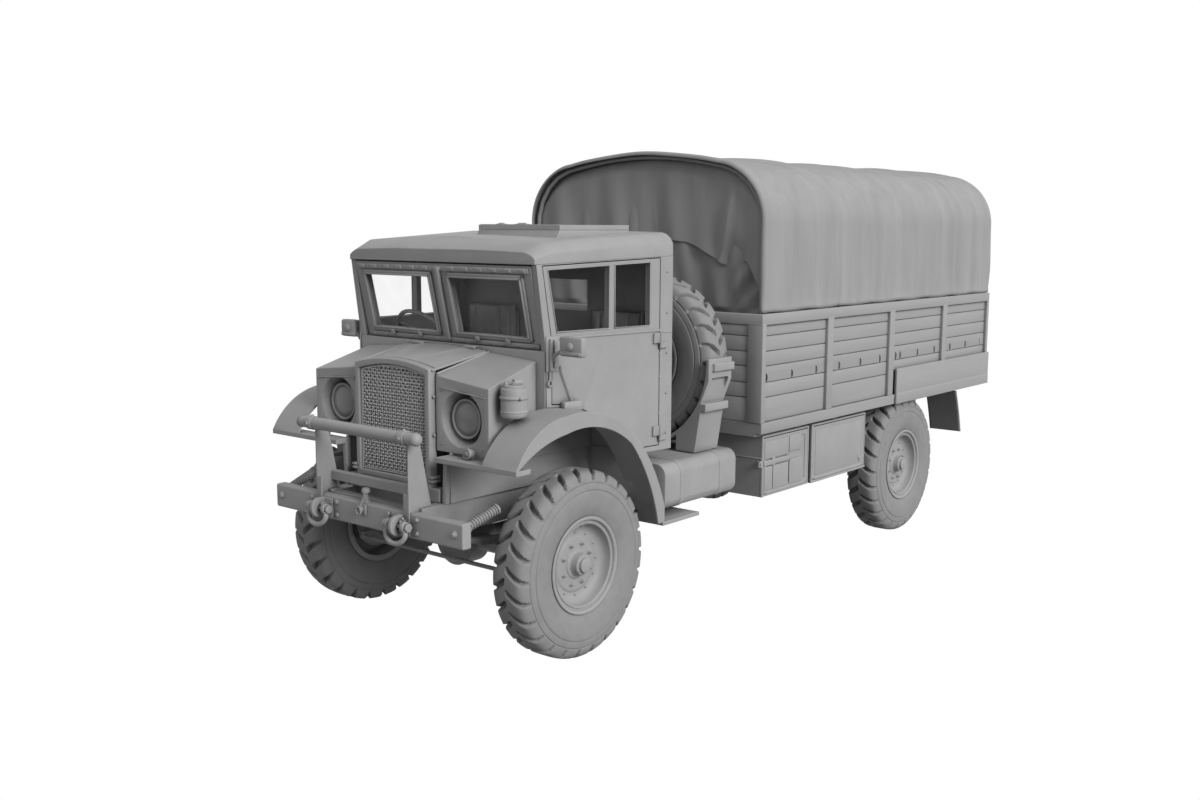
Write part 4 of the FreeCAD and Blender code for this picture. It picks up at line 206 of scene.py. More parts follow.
# Meshes
class Work:
    """Gathers the solids of one piece and joins them in a single mesh."""

    def __init__(self):
        self.points = []
        self.faces = []

    def add(self, points, faces, matrix=None):
        start = len(self.points)
        if matrix is not None:
            points = [matrix @ Vector(p) for p in points]
        self.points += [tuple(p) for p in points]
        self.faces += [tuple(i + start for i in face) for face in faces]

    def take(self, made, matrix=None):
        """The solids of an edited mesh, which is then freed."""
        made.verts.index_update()
        self.add([v.co.copy() for v in made.verts], [[v.index for v in f.verts] for f in made.faces], matrix)
        made.free()

    def bar(self, low, high, soft=0.003, matrix=None):
        """A box with every edge chamfered by soft."""
        half = [(h - l) / 2 for l, h in zip(low, high)]
        middle = Vector([(h + l) / 2 for l, h in zip(low, high)])
        soft = min(soft, *(h * 0.49 for h in half))
        made = bmesh.new()
        bmesh.ops.create_cube(made, size=2)
        for vert in made.verts:
            vert.co = Vector([c * h for c, h in zip(vert.co, half)])
        bmesh.ops.bevel(made, geom=made.edges[:], offset=soft, segments=2, affect="EDGES", profile=0.5)
        at = Matrix.Translation(middle)
        self.take(made, at if matrix is None else matrix @ at)

    def spun(self, profile, start, axis, sides):
        """An outline of (along, radius) points turned about an axis from start."""
        turn = Vector(axis).to_track_quat("Z", "Y").to_matrix().to_4x4()
        points, faces = [], []
        count = len(profile)
        for side in range(sides):
            angle = TAU * side / sides
            points += [(r * cos(angle), r * sin(angle), a) for a, r in profile]
            after = (side + 1) % sides
            for index in range(count - 1):
                near, far = side * count + index, after * count + index
                faces.append((near, far, far + 1, near + 1))
        self.add(points, faces, Matrix.Translation(Vector(start)) @ turn)

    def turned(self, profile, start, axis, sides):
        """The same with both ends closed by flat discs."""
        self.spun([(profile[0][0], 0), *profile, (profile[-1][0], 0)], start, axis, sides)

    def rod(self, start, end, radius, soft=0.003, sides=20):
        """A round bar with chamfered ends."""
        start, end = Vector(start), Vector(end)
        long = (end - start).length
        soft = min(soft, radius * 0.45, long * 0.45)
        self.turned([(0, radius - soft), (soft, radius), (long - soft, radius), (long, radius - soft)],
                    start, end - start, sides)

    def bolt(self, at, way, radius=0.005, high=0.004):
        """A hexagon head on its washer."""
        at, way = Vector(at), Vector(way).normalized()
        self.rod(at, at + way * high * 0.35, radius * 1.35, 0.001, 14)
        self.turned([(0, radius), (high * 0.75, radius), (high, radius * 0.8)], at, way, 6)

    def pipe(self, path, radius, sides=10, closed=False):
        """A round tube along a smooth path of points."""
        path = [Vector(p) for p in path]
        count = len(path)
        points, faces = [], []
        normal = None
        for index, point in enumerate(path):
            before = path[index - 1] if index or closed else point
            after = path[(index + 1) % count] if index < count - 1 or closed else point
            way = (after - before).normalized()
            if normal is None:
                normal = way.orthogonal().normalized()
            normal = (normal - way * normal.dot(way)).normalized()
            points += loop(point, normal * radius, way.cross(normal) * radius, sides)
        for ring in range(count if closed else count - 1):
            near, far = ring * sides, (ring + 1) % count * sides
            for side in range(sides):
                after = (side + 1) % sides
                faces.append((near + side, near + after, far + after, far + side))
        if not closed:
            faces.append(tuple(reversed(range(sides))))
            faces.append(tuple(range((count - 1) * sides, count * sides)))
        self.add(points, faces)

    def plate(self, outline, thick, matrix, soft):
        """A flat plate from an (x, y) outline, thick along its normal, with softened edges."""
        made = bmesh.new()
        face = made.faces.new([made.verts.new((x, y, 0)) for x, y in outline])
        drawn = bmesh.ops.extrude_face_region(made, geom=[face])
        moved = [item for item in drawn["geom"] if isinstance(item, bmesh.types.BMVert)]
        bmesh.ops.translate(made, vec=(0, 0, thick), verts=moved)
        bmesh.ops.recalc_face_normals(made, faces=made.faces)
        sharp = [e for e in made.edges if len(e.link_faces) == 2 and e.calc_face_angle() > 0.6]
        bmesh.ops.bevel(made, geom=sharp, offset=soft, segments=2, affect="EDGES", profile=0.5)
        self.take(made, matrix)

    def mirror(self):
        """The same solids again on the other side of the truck."""
        points = [(-x, y, z) for x, y, z in self.points]
        self.add(points, [tuple(reversed(face)) for face in self.faces])
        return self

    def flipped(self, side):
        """The solids moved to the truck's right when side is negative."""
        if side < 0:
            self.points = [(-x, y, z) for x, y, z in self.points]
        return self

    def piece(self, name, body="chassis", slot="body_paint", replaced=(), material=None, angle=35):
        """An object of all the solids."""
        mesh = bpy.data.meshes.new(name)
        mesh.from_pydata(self.points, [], self.faces)
        return dress(name, mesh, body, slot, replaced, material, angle)


def dress(name, mesh, body, slot, replaced=(), material=None, angle=60):
    """An object from a mesh, with its material, its body and what it stands for."""
    mesh.update()
    mesh.validate()
    made = bmesh.new()
    made.from_mesh(mesh)
    bmesh.ops.recalc_face_normals(made, faces=made.faces)
    made.to_mesh(mesh)
    made.free()
    mesh.polygons.foreach_set("use_smooth", [True] * len(mesh.polygons))
    mesh.set_sharp_from_angle(angle=radians(angle))
    mesh.materials.append(material or MATERIALS[slot])
    made = bpy.data.objects.new(name, mesh)
    bpy.context.scene.collection.objects.link(made)
    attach(made, body)
    if replaced:
        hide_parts(*replaced)
    return made


def softened(name, width):
    """A CAD node's own form with its edges rounded, which stands for it."""
    mesh = NODES[name].data.copy()
    made = bmesh.new()
    made.from_mesh(mesh)
    bmesh.ops.remove_doubles(made, verts=made.verts, dist=1e-5)
    bmesh.ops.dissolve_limit(made, angle_limit=radians(1.5), verts=made.verts, edges=made.edges)
    for edge in made.edges:
        edge.smooth = True
    made.to_mesh(mesh)
    made.free()
    mesh.materials.clear()
    result = dress(name + "_form", mesh, BODY_OF[name], SLOT_OF[name], (name,))
    bevel = result.modifiers.new("rounding", "BEVEL")
    bevel.width = width
    bevel.segments = 2
    bevel.limit_method = "ANGLE"
    bevel.angle_limit = radians(32)
    bevel.use_clamp_overlap = True
    bevel.harden_normals = True


def thickened(made, thick, offset=-1):
    """Gives a sheet its thickness, to the side that offset tells."""
    body = made.modifiers.new("thickness", "SOLIDIFY")
    body.thickness = thick
    body.offset = offset


def side_matrix(side):
    """From (out, along, up) in the cab's tapered side plane to the truck; along is 0 at the cab's rear."""
    placed = Matrix.Translation((CAB_REAR_HALF, CAB_REAR, 0)) @ Matrix.Rotation(-TAPER, 4, "Z")
    if side < 0:
        placed = Matrix.Diagonal((-1, 1, 1, 1)) @ placed
    return placed


def loop(centre, first, second, count):
    """Points of a ring about a centre, through its tips first and second."""
    centre, first, second = Vector(centre), Vector(first), Vector(second)
    angles = [TAU * index / count for index in range(count)]
    return [centre + (first * cos(a) + second * sin(a)) for a in angles]


def lengths(points):
    """The running length along a path of points."""
    return np.r_[0, np.cumsum(np.linalg.norm(np.diff(points, axis=0), axis=1))]


def through(points, count):
    """Points on a smooth curve through a few given ones."""
    points = np.array(points, float)
    padded = np.vstack([2 * points[0] - points[1], points, 2 * points[-1] - points[-2]])
    chord = lengths(points)
    result = []
    for value in np.linspace(0, chord[-1], count):
        i = min(int(np.searchsorted(chord, value, side="right")) - 1, len(points) - 2)
        t = (value - chord[i]) / (chord[i + 1] - chord[i])
        p0, p1, p2, p3 = padded[i:i + 4]
        result.append(0.5 * (2 * p1 + (p2 - p0) * t + (2 * p0 - 5 * p1 + 4 * p2 - p3) * t * t
                             + (3 * p1 - p0 - 3 * p2 + p3) * t ** 3))
    return np.array(result)


def smooth(low, high, value):
    """0 below low, 1 above high, smooth between."""
    t = np.clip((value - low) / (high - low), 0, 1)
    return t * t * (3 - 2 * t)


def bell(value, wide):
    """1 at zero, falling off smoothly on both sides."""
    return np.exp(-(value / wide) ** 2)


def grid_mesh(name, points, wrap=False):
    """A mesh from a grid of points, rows by columns."""
    rows, columns, _ = points.shape
    index = np.arange(rows * columns).reshape(rows, columns)
    if wrap:
        index = np.vstack([index, index[:1]])
    corners = [index[:-1, :-1], index[1:, :-1], index[1:, 1:], index[:-1, 1:]]
    quads = np.stack(corners, axis=-1).reshape(-1, 4)
    mesh = bpy.data.meshes.new(name)
    mesh.from_pydata(points.reshape(-1, 3).tolist(), [], quads.tolist())
    return mesh


# Camera and light
def make_camera():
    """The photograph's own point of view."""
    place, turns, lens = (5.457, -7.576, 2.481), (39.679, -8.044, 0.251), 37.08
    yaw, pitch, roll = (radians(a) for a in turns)
    view = Vector((-sin(yaw) * cos(pitch), cos(yaw) * cos(pitch), sin(pitch)))
    flat_right = Vector((cos(yaw), sin(yaw), 0))
    flat_up = flat_right.cross(view)
    right = flat_right * cos(roll) + flat_up * sin(roll)
    up = flat_up * cos(roll) - flat_right * sin(roll)
    camera = bpy.data.objects.new("camera", bpy.data.cameras.new("camera"))
    camera.data.sensor_width = 36.0
    camera.data.lens = lens
    camera.data.clip_end = 200
    camera.matrix_world = Matrix.Translation(place) @ Matrix((right, up, -view)).transposed().to_4x4()
    bpy.context.scene.collection.objects.link(camera)
    bpy.context.scene.camera = camera


def seen_directly(tree):
    """1 for rays from the camera, off polished surfaces or through glass, 0 for the light on the object."""
    path = node(tree, "LightPath")
    first = maths(tree, "MAXIMUM", path.outputs["Is Camera Ray"], path.outputs["Is Glossy Ray"])
    return maths(tree, "MAXIMUM", first, path.outputs["Is Transmission Ray"])


def make_light():
    """A soft sun from the truck's left, an even sky, and a white floor."""
    sun_way, sun_strength, sky_strength, reach, below = (0.9, -0.1, 0.43), 2.45, 0.44, 60, -0.001
    scene = bpy.context.scene
    scene.view_settings.view_transform = "Standard"
    world = bpy.data.worlds.new("studio")
    world.use_nodes = True
    tree = world.node_tree
    back = tree.nodes["Background"]
    back.inputs["Color"].default_value = (1, 1, 1, 1)
    tree.links.new(spread(tree, seen_directly(tree), sky_strength, 1.0), back.inputs["Strength"])
    scene.world = world
    sun = bpy.data.objects.new("sun", bpy.data.lights.new("sun", "SUN"))
    sun.data.energy = sun_strength
    sun.data.angle = radians(30)
    turn = Vector(sun_way).to_track_quat("Z", "Y").to_matrix().to_4x4()
    sun.matrix_world = Matrix.Translation((6, 0, 6)) @ turn
    scene.collection.objects.link(sun)
    mesh = bpy.data.meshes.new("floor")
    corners = [(x * reach, y * reach, below) for x, y in ((-1, -1), (1, -1), (1, 1), (-1, 1))]
    mesh.from_pydata(corners, [], [(0, 1, 2, 3)])
    floor = bpy.data.objects.new("floor", mesh)
    material, tree, shader = blank_material("floor_white")
    shader.inputs["Base Color"].default_value = (0.05, 0.05, 0.05, 1)
    shader.inputs["Roughness"].default_value = 0.95
    glow = node(tree, "Emission", Strength=1.0)
    mix = node(tree, "MixShader")
    for source, entry in zip((seen_directly(tree), shader.outputs[0], glow.outputs[0]), mix.inputs):
        tree.links.new(source, entry)
    tree.links.new(mix.outputs[0], tree.nodes["Material Output"].inputs["Surface"])
    mesh.materials.append(material)
    scene.collection.objects.link(floor)


# Wheels
def tyre_mesh():
    """One bar-tread tyre about the X axis: smooth sidewalls, staggered bars that wrap the shoulders."""
    bars, steps, deep, rings = 26, 16, 0.03, (0.48, 0.438)
    rib_high, rib_wide, soft, sweep_high, sweep_run = 0.0045, 0.003, 0.032, 0.62, 0.17
    crown = [(0, 0.5495), (0.05, 0.5488), (0.084, 0.544), (0.106, 0.53), (0.1195, 0.505)]
    sidewall = [(0.128, 0.472), (0.134, 0.43), (0.135, 0.395), (0.13, 0.345), (0.12, 0.312)]
    bead = [(0.112, 0.292), (0.106, 0.2865), (0.105, 0.27)]
    half = through(crown + sidewall + bead, 400)
    fine = lengths(half)
    places = [fine[np.argmin(np.abs(half[:, 1] - radius))] for radius in rings]
    stops = [place + step for place in places for step in (-0.005, -0.0025, 0, 0.0025, 0.005)]
    stops = np.sort(np.r_[np.linspace(0, fine[-1], 36), stops])
    half = np.stack([np.interp(stops, fine, half[:, 0]), np.interp(stops, fine, half[:, 1])], axis=1)
    tangent = np.gradient(half, axis=0)
    normal = np.stack([-tangent[:, 1], tangent[:, 0]], axis=1)
    normal /= np.linalg.norm(normal, axis=1, keepdims=True)
    normal *= np.sign(normal[:, :1] + 1e-9 + 2 * normal[:, 1:])
    run = lengths(half)
    angle = TAU * np.arange(bars * steps)[:, None] / (bars * steps)
    sweep = sweep_high * (1 - run / sweep_run) ** 2
    wide = np.interp(run, [0, 0.05, 0.12, 0.185], [0.1, 0.135, 0.085, 0.045])
    reach = smooth(0.001, 0.014, run) * (1 - smooth(0.14, 0.166, run))
    depth = deep * np.interp(run, [0, 0.02, 0.1, 0.15, 0.18], [0.8, 1.0, 0.9, 0.6, 0.2]) * reach
    ribs = sum(rib_high * bell(half[:, 1] - radius, rib_wide) for radius in rings)
    strips = []
    for side, shift in ((-1, 0.5), (1, 0)):
        away = np.abs((angle * bars / TAU + shift + sweep) % 1 - 0.5)
        drop = (1 - smooth(wide - soft, wide + soft, away)) * depth + ribs
        sunk = half - drop[..., None] * normal
        strips.append(sunk * (side, 1))
    along, radius = np.moveaxis(np.concatenate([strips[0][:, :0:-1], strips[1]], axis=1), -1, 0)
    points = np.stack([along, radius * np.sin(angle), -radius * np.cos(angle)], axis=-1)
    return grid_mesh("tyre", points, wrap=True)


def wheel_work():
    """One steel wheel about the X axis: stepped rim, deep dish, rings of nuts and bolts, protruding hub."""
    work = Work()
    work.spun([
        (0.1215, 0), (0.1215, 0.036), (0.119, 0.0425), (0.102, 0.044), (0.1005, 0.056), (0.096, 0.06),
        (0.07, 0.062), (0.056, 0.07), (0.05, 0.086), (0.044, 0.09), (0.044, 0.15), (0.04, 0.164),
        (0.033, 0.172), (0.033, 0.195), (0.042, 0.216), (0.06, 0.23), (0.08, 0.236), (0.102, 0.239),
        (0.106, 0.246), (0.1, 0.25), (0.1, 0.258), (0.108, 0.262), (0.116, 0.266), (0.12, 0.274),
        (0.119, 0.282), (0.114, 0.286), (0.105, 0.284), (0.1045, 0.262), (-0.1045, 0.262), (-0.105, 0.284),
        (-0.118, 0.284), (-0.118, 0.249), (0.01, 0.244), (0.008, 0.174), (-0.06, 0.174), (-0.069, 0.168),
        (-0.069, 0.036), (-0.01, 0.036), (-0.01, 0),
    ], (0, 0, 0), OUT, 96)
    studs, dish_bolts, hub_bolts = (8, 0.5, 0.122, 0.043), (12, 0, 0.184, 0.032), (6, 0, 0.0505, 0.099)
    heads = ((0.0125, 0.016, 0.023), (0.008, 0.009, 0), (0.0045, 0.005, 0))
    for (count, shift, radius, out), (wide, high, stud) in zip((studs, dish_bolts, hub_bolts), heads):
        for index in range(count):
            angle = TAU * (index + shift) / count
            at = Vector((out, sin(angle) * radius, cos(angle) * radius))
            work.bolt(at, OUT, wide, high)
            if stud:
                work.rod(at, at + Vector(OUT) * stud, 0.006, 0.001, 10)
    work.rod((0.05, 0, 0.226), (0.092, 0, 0.229), 0.006, 0.002, 10)
    return work


def make_wheels():
    """The four road wheels and the spare, each from the same tyre and wheel."""
    tyre = tyre_mesh()
    wheel = wheel_work()
    places = []
    for end, along in (("front", FRONT_AXLE), ("rear", REAR_AXLE)):
        for sign, side in SIDES:
            matrix = Matrix.Translation((sign * TRACK_HALF, along, TYRE_RADIUS))
            if sign < 0:
                matrix = matrix @ Matrix.Rotation(pi, 4, "Z")
            places.append(("tyre_%s_%s" % (end, side), "wheel_%s_%s" % (end, side), matrix))
    spare_at = (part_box("spare_tyre")[0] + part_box("spare_tyre")[1]) / 2
    places.append(("spare_tyre", "spare_wheel",
                   Matrix.Translation(spare_at) @ Matrix.Rotation(-pi / 2, 4, "Z")))
    for tyre_node, wheel_node, matrix in places:
        mesh = tyre.copy()
        mesh.transform(matrix)
        dress(tyre_node + "_form", mesh, BODY_OF[tyre_node], "tyre_rubber", (tyre_node,), angle=40)
        turned = Work()
        turned.add(wheel.points, wheel.faces, matrix)
        turned.piece(wheel_node + "_form", BODY_OF[wheel_node], replaced=(wheel_node,))


# Nose and bumper
def make_grille_wire():
    """The woven stone guard: crimped wires that pass over and under each other."""
    low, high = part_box("grille_mesh")
    work = Work()
    pitch, wire, rim, arch, inset, lean, weave = 0.0185, 0.0034, 0.0065, 0.041, 0.012, 0.0022, 0.005
    middle, half, rise = (low.y + high.y) / 2, high.x, high.z - arch

    def top_at(x):
        return rise + arch * (1 - (x / half) ** 2)

    def crimps(index, start, end):
        """Steps along a wire from start to end, each with its lean and its weave."""
        count = int((end - start) / (pitch / 2))
        quarter = pi / 2
        return [(start + step * (end - start) / count, lean * sin(step * quarter),
                 weave * sin((step + index * 2) * quarter)) for step in range(count + 1)]

    columns, rows = int((high.x - low.x) / pitch), int((high.z - low.z) / pitch)
    for index in range(1, columns):
        x = low.x + index * (high.x - low.x) / columns
        bends = crimps(index, low.z + inset, top_at(x) - inset)
        work.pipe([(x + side, middle + over, z) for z, side, over in bends], wire, 5)
    for index in range(1, rows):
        z = low.z + index * (high.z - low.z) / rows
        reach = half - inset
        if z > rise - inset:
            reach = half * sqrt(max(0.0, 1 - (z + inset - rise) / arch)) - inset
        if reach >= 0.05:
            bends = crimps(index, -reach, reach)
            work.pipe([(x, middle - over, z + side) for x, side, over in bends], wire, 5)
    foot, side = low.z + 0.007, half - 0.007
    edge = [(-side, foot), (side, foot)] + [(x, top_at(x) - 0.008) for x in np.linspace(side, -side, 15)]
    work.pipe([(x, middle, z) for x, z in edge], rim, 8, closed=True)
    work.piece("woven_guard", slot="wire_mesh", replaced=("grille_mesh",))


def make_lamps():
    """Headlamps with their rims and lenses, side lamps and tail lamps."""
    metal, glass = Work(), Work()
    head = (0.537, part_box("lamps")[0].y + 0.086, 1.408)
    side = (0.629, NOSE_FACE, 1.228)
    tail = (0.9, BODY_REAR, 1.113)
    head_rim = [(0, 0.086), (0.03, 0.098), (0.056, 0.109), (0.064, 0.114), (0.072, 0.114), (0.076, 0.107),
                (0.071, 0.1), (0.064, 0.097), (0.062, 0.094)]
    head_lens = [(0.062, 0.098), (0.07, 0.092), (0.079, 0.068), (0.0845, 0.036), (0.086, 0)]
    side_rim = [(0, 0.022), (0.03, 0.03), (0.052, 0.031), (0.056, 0.026), (0.052, 0.022)]
    side_lens = [(0.05, 0.023), (0.058, 0.016), (0.062, 0)]
    tail_rim = [(0, 0.026), (0.014, 0.028), (0.022, 0.024), (0.02, 0.021)]
    tail_lens = [(0.019, 0.022), (0.024, 0.015), (0.026, 0)]
    for at, way, sides, rim, lens in ((head, FORWARD, 56, head_rim, head_lens),
                                      (side, (0, -1, 0.1), 24, side_rim, side_lens),
                                      (tail, REARWARD, 24, tail_rim, tail_lens)):
        metal.turned(rim, at, way, sides)
        glass.spun(lens, at, way, sides)
    metal.bar((side[0] - 0.01, -2.874, side[2] - 0.036), (side[0] + 0.01, -2.852, side[2] - 0.018))
    metal.mirror().piece("lamp_bodies", slot="lamp_metal", replaced=("lamps",))
    glass.mirror().piece("lamp_glasses", slot="lamp_metal", material=LENS)


def make_shackle(work, place):
    """A tow shackle: its pin with nuts and collars, its lugs, its bow, and the bolts of its plate."""
    y, z = (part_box("tow_fittings")[0].y + BUMPER_FRONT) / 2 + 0.006, BUMPER_MIDDLE
    nut = [(0, 0.024), (0.003, 0.026), (0.017, 0.026), (0.02, 0.022)]
    collar = [(0, 0.027), (0.004, 0.031), (0.024, 0.031), (0.028, 0.027)]
    work.rod((place - 0.092, y, z), (place + 0.092, y, z), 0.012)
    for side in (-1, 1):
        work.turned(nut, (place + side * 0.082, y, z), (side, 0, 0), 6)
        work.turned(collar, (place + side * 0.05, y, z), (side, 0, 0), 28)
        lug = place + side * 0.03
        work.bar((lug - 0.006, BUMPER_FRONT - 0.052, z - 0.03), (lug + 0.006, BUMPER_FRONT, z + 0.034), 0.005)
        for lift in (-0.036, 0.04):
            work.bolt((place + side * 0.116, BUMPER_FRONT, z + lift), FORWARD, 0.012, 0.012)
    half = [(0.066, -0.004, -0.012), (0.08, -0.012, -0.046), (0.052, -0.02, -0.082)]
    bow = [(-out, on, up) for out, on, up in half] + [(0, -0.024, -0.096)] + half[::-1]
    work.pipe(through([(place + out, y + on, z + up) for out, on, up in bow], 26), 0.0145, 14)


def make_bumper_fittings():
    """Bolts at the bumper's ends, the tow shackles, and the centre pin on its chain."""
    work = Work()
    end, bolt_lift, plate = 0.756, 0.008, 0.006
    for x in (-end, end):
        seat = (x, BUMPER_FRONT - plate, BUMPER_MIDDLE + bolt_lift)
        work.rod((x, BUMPER_FRONT, seat[2]), seat, 0.024, 0.002)
        work.bolt(seat, FORWARD, 0.014, 0.012)
    for place in (-0.345, 0.345):
        make_shackle(work, place)
    face = BUMPER_FRONT - 0.012
    work.bar((-0.04, face, BUMPER_MIDDLE + 0.006), (0.04, BUMPER_FRONT, BUMPER_HIGH - 0.008), 0.005)
    work.turned([(0, 0.02), (0.01, 0.02), (0.014, 0.016)], (0, face, BUMPER_MIDDLE + 0.036), FORWARD, 20)
    ring = loop((0, BUMPER_FRONT - 0.03, BUMPER_MIDDLE + 0.03), (0.021, 0, 0), (0, 0, 0.021), 21)
    work.pipe(ring, 0.0065, closed=True)
    pin = BUMPER_FRONT + 0.026
    work.turned([(0, 0.026), (0.008, 0.026), (0.012, 0.014), (0.052, 0.014), (0.056, 0.024), (0.07, 0.026),
                 (0.082, 0.02), (0.086, 0.01)], (0, pin, BUMPER_HIGH - 0.002), UP, 28)
    links, long, half_wide = 5, 0.0115, 0.0065
    for index in range(links):
        share = (index + 0.5) / links
        at = (0.016, pin - 0.02 - 0.036 * share, BUMPER_HIGH + 0.052 - 0.072 * share)
        flat = Vector((1, 0, 0) if index % 2 else (0, 1, 0))
        work.pipe(loop(at, Vector((0, -0.45, -0.89)) * long, flat * half_wide, 14), 0.0026, 8, closed=True)
    work.piece("bumper_fittings")


def make_gaiters():
    """A ribbed rubber sleeve on each side between the bumper's back and the front mudguard."""
    start, end = Vector((0.775, -3.056, 0.868)), Vector((0.8, -2.835, 0.945))
    way = end - start
    ribs, sleeve, valley, crest, clip = 13, 0.026, 0.022, 0.029, 0.032
    rib = [(-0.0062, valley), (-0.0035, crest), (0.0035, crest), (0.0062, valley)]
    profile = [(0, sleeve)]
    for index in range(ribs):
        base = way.length * (index + 0.5) / ribs
        profile += [(base + step, radius) for step, radius in rib]
    work, clips = Work(), Work()
    work.turned(profile + [(way.length, sleeve)], start, way, 26)
    work.mirror().piece("front_gaiters", slot="flap_rubber")
    for at in (start + way * 0.02, end - way * 0.08):
        clips.spun([(0, 0.024), (0, clip), (0.012, clip), (0.012, 0.024)], at, way, 26)
    clips.mirror().piece("front_gaiter_clips", slot="chassis_paint")


def make_guard_details():
    """Rounded ends and clamps on the guard's tube, and the bolts at the feet of its uprights."""
    work = Work()
    place, height, radius, half, clamp, wide = -3.15, 1.33, 0.035, 0.5, 0.401, 0.044
    collar = radius + 0.006
    end = [(-0.004, radius + 0.002), (0.01, radius + 0.001), (0.024, radius * 0.72), (0.03, radius * 0.3),
           (0.031, 0)]
    band = [(0, radius), (0, collar), (wide, collar), (wide, radius)]
    for side in (-1, 1):
        work.spun(end, (side * (half - 0.004), place, height), (side, 0, 0), 28)
        x = side * clamp
        work.spun(band, (x - wide / 2, place, height), OUT, 28)
        work.bolt((x, place - collar + 0.001, height), FORWARD, 0.009, 0.009)
        work.bolt((x, place, height + collar - 0.001), UP, 0.009, 0.009)
        for z in (BUMPER_HIGH - 0.03, BUMPER_LOW + 0.034):
            work.bolt((side * 0.383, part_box("brush_guard")[0].y + 0.03, z), FORWARD, 0.009, 0.008)
    work.piece("guard_clamps")


def make_nose_details():
    """Catches and edge beads of the bonnet, the grille's brackets and the nose's screws."""
    catches, half = ((0.34, -2.72, 1.64), (0.36, -2.55, 1.675)), 0.022
    side_screws, brackets = (1.06, 1.3, 1.52), ((1.03, 1.046), (1.052, 1.066))
    face_screws = ((0.7, 1.255), (0.38, 1.255), (0.7, 1.56), (0.38, 1.56))
    front_bead = [(0.372, -2.852, 1.575), (0.728, -2.852, 1.545)]
    side_bead = [(0.337, -2.846, 1.647), (0.36, -2.45, 1.743)]
    lid_bead = [(0.326, -2.872, 1.668), (0.353, -2.475, 1.744)]
    work, beads = Work(), Work()
    for x, y, z in catches:
        work.bar((x - 0.012, y - half, z), (x + 0.006, y + half, z + half), 0.004)
        work.rod((x + 0.002, y - 0.016, z + 0.016), (x + 0.002, y + 0.016, z + 0.016), 0.006)
    for z in side_screws:
        work.bolt((0.334, -2.866, z), OUT, 0.007, 0.006)
    for low, high in brackets:
        work.bar((0.318, -2.905, low), (0.352, -2.835, high))
    for x, z in face_screws:
        work.bolt((x, NOSE_FACE, z), FORWARD)
    work.pipe(front_bead, 0.0035, 8)
    work.pipe(side_bead, 0.0085)
    work.mirror().piece("nose_fittings")
    beads.pipe(lid_bead, 0.007)
    beads.mirror().piece("bonnet_beads", "bonnet_lid")


def make_canister():
    """The oil-bath air cleaner on the left of the nose, with its bands, its lid and the lid's fittings."""
    low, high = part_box("air_cleaner")
    band, radius, neck, tall = 0.081, 0.0745, 0.057, high.z - low.z - 0.032
    centre = Vector((high.x - band, (low.y + high.y) / 2, low.z))
    work = Work()
    bowl = [(0, 0.062), (0.006, 0.07), (0.018, radius), (0.03, radius), (0.033, radius + 0.003),
            (0.037, radius + 0.003), (0.04, radius)]
    upper = [(-0.064, radius), (-0.062, band - 0.001), (-0.06, band), (-0.05, band), (-0.048, band - 0.001),
             (-0.046, radius), (-0.012, radius), (-0.004, 0.071), (0, 0.064), (0, neck), (0.009, neck),
             (0.013, 0.052)]
    work.turned(bowl + [(tall + step, wide) for step, wide in upper], centre, UP, 44)
    work.bar((0.746, centre.y - 0.02, low.z + 0.02), (centre.x, centre.y + 0.02, high.z - 0.052), 0.004)
    top = low.z + tall + 0.012
    work.turned([(0, 0.014), (0.014, 0.014), (0.02, 0.009)], (centre.x, centre.y, top), UP, 20)
    horn = (centre.x - 0.006, centre.y + 0.002, top + 0.01)
    work.turned([(0, 0.022), (0.046, 0.022), (0.052, 0.016)], horn, (0.35, 0.93, 0.05), 22)
    x, y = centre.x - 0.03, centre.y - 0.03
    work.rod((x, y, top - 0.004), (x, y, top + 0.014), 0.013)
    work.bolt((x, y, top + 0.014), UP, 0.008, 0.007)
    work.bolt((centre.x + band - 0.002, y, low.z + tall - 0.055), (1, -0.4, 0), 0.007, 0.01)
    work.piece("air_cleaner_form", replaced=("air_cleaner",))


# Cab
def window_top(along):
    """The height of the door windows' sloping top edge at a place along the cab's side."""
    return 2.262 - 0.028 * (-along - 0.204) / 0.832


def make_cab_seams():
    """Belt lines, window frames and hinge screws of the doors, and the seams of the cab's rear corners."""
    sill, windows = 1.88, ((-0.966, -1.036, -0.552), (-0.506, -0.506, -0.204))
    hinge_screws, corner_screws = (1.19, 1.33, 1.56, 1.7), (1.2, 1.45, 1.7, 1.95, 2.2)
    for side, name in SIDES:
        matrix = side_matrix(side)
        out = matrix.to_3x3() @ Vector(OUT)
        door, shell = Work(), Work()
        door.bar((-0.004, -1.0, 1.838), (0.006, -0.112, 1.852), matrix=matrix)
        for low_front, high_front, rear in windows:
            line = [(low_front, sill), (rear, sill), (rear, window_top(rear)),
                    (high_front, window_top(high_front))]
            door.pipe([matrix @ Vector((0.001, along, up)) for along, up in line], 0.0055, 8, closed=True)
        for z in hinge_screws:
            door.bolt(matrix @ Vector((0, -0.118, z)), out)
        door.piece("door_%s_trim" % name, "door_" + name)
        shell.bar((-0.003, -0.092, 1.828), (0.003, -0.002, 1.834), 0.001, matrix)
        for z in corner_screws:
            shell.bolt(matrix @ Vector((0.001, -0.05, z)), out)
        shell.piece("cab_corner_screws_" + name)


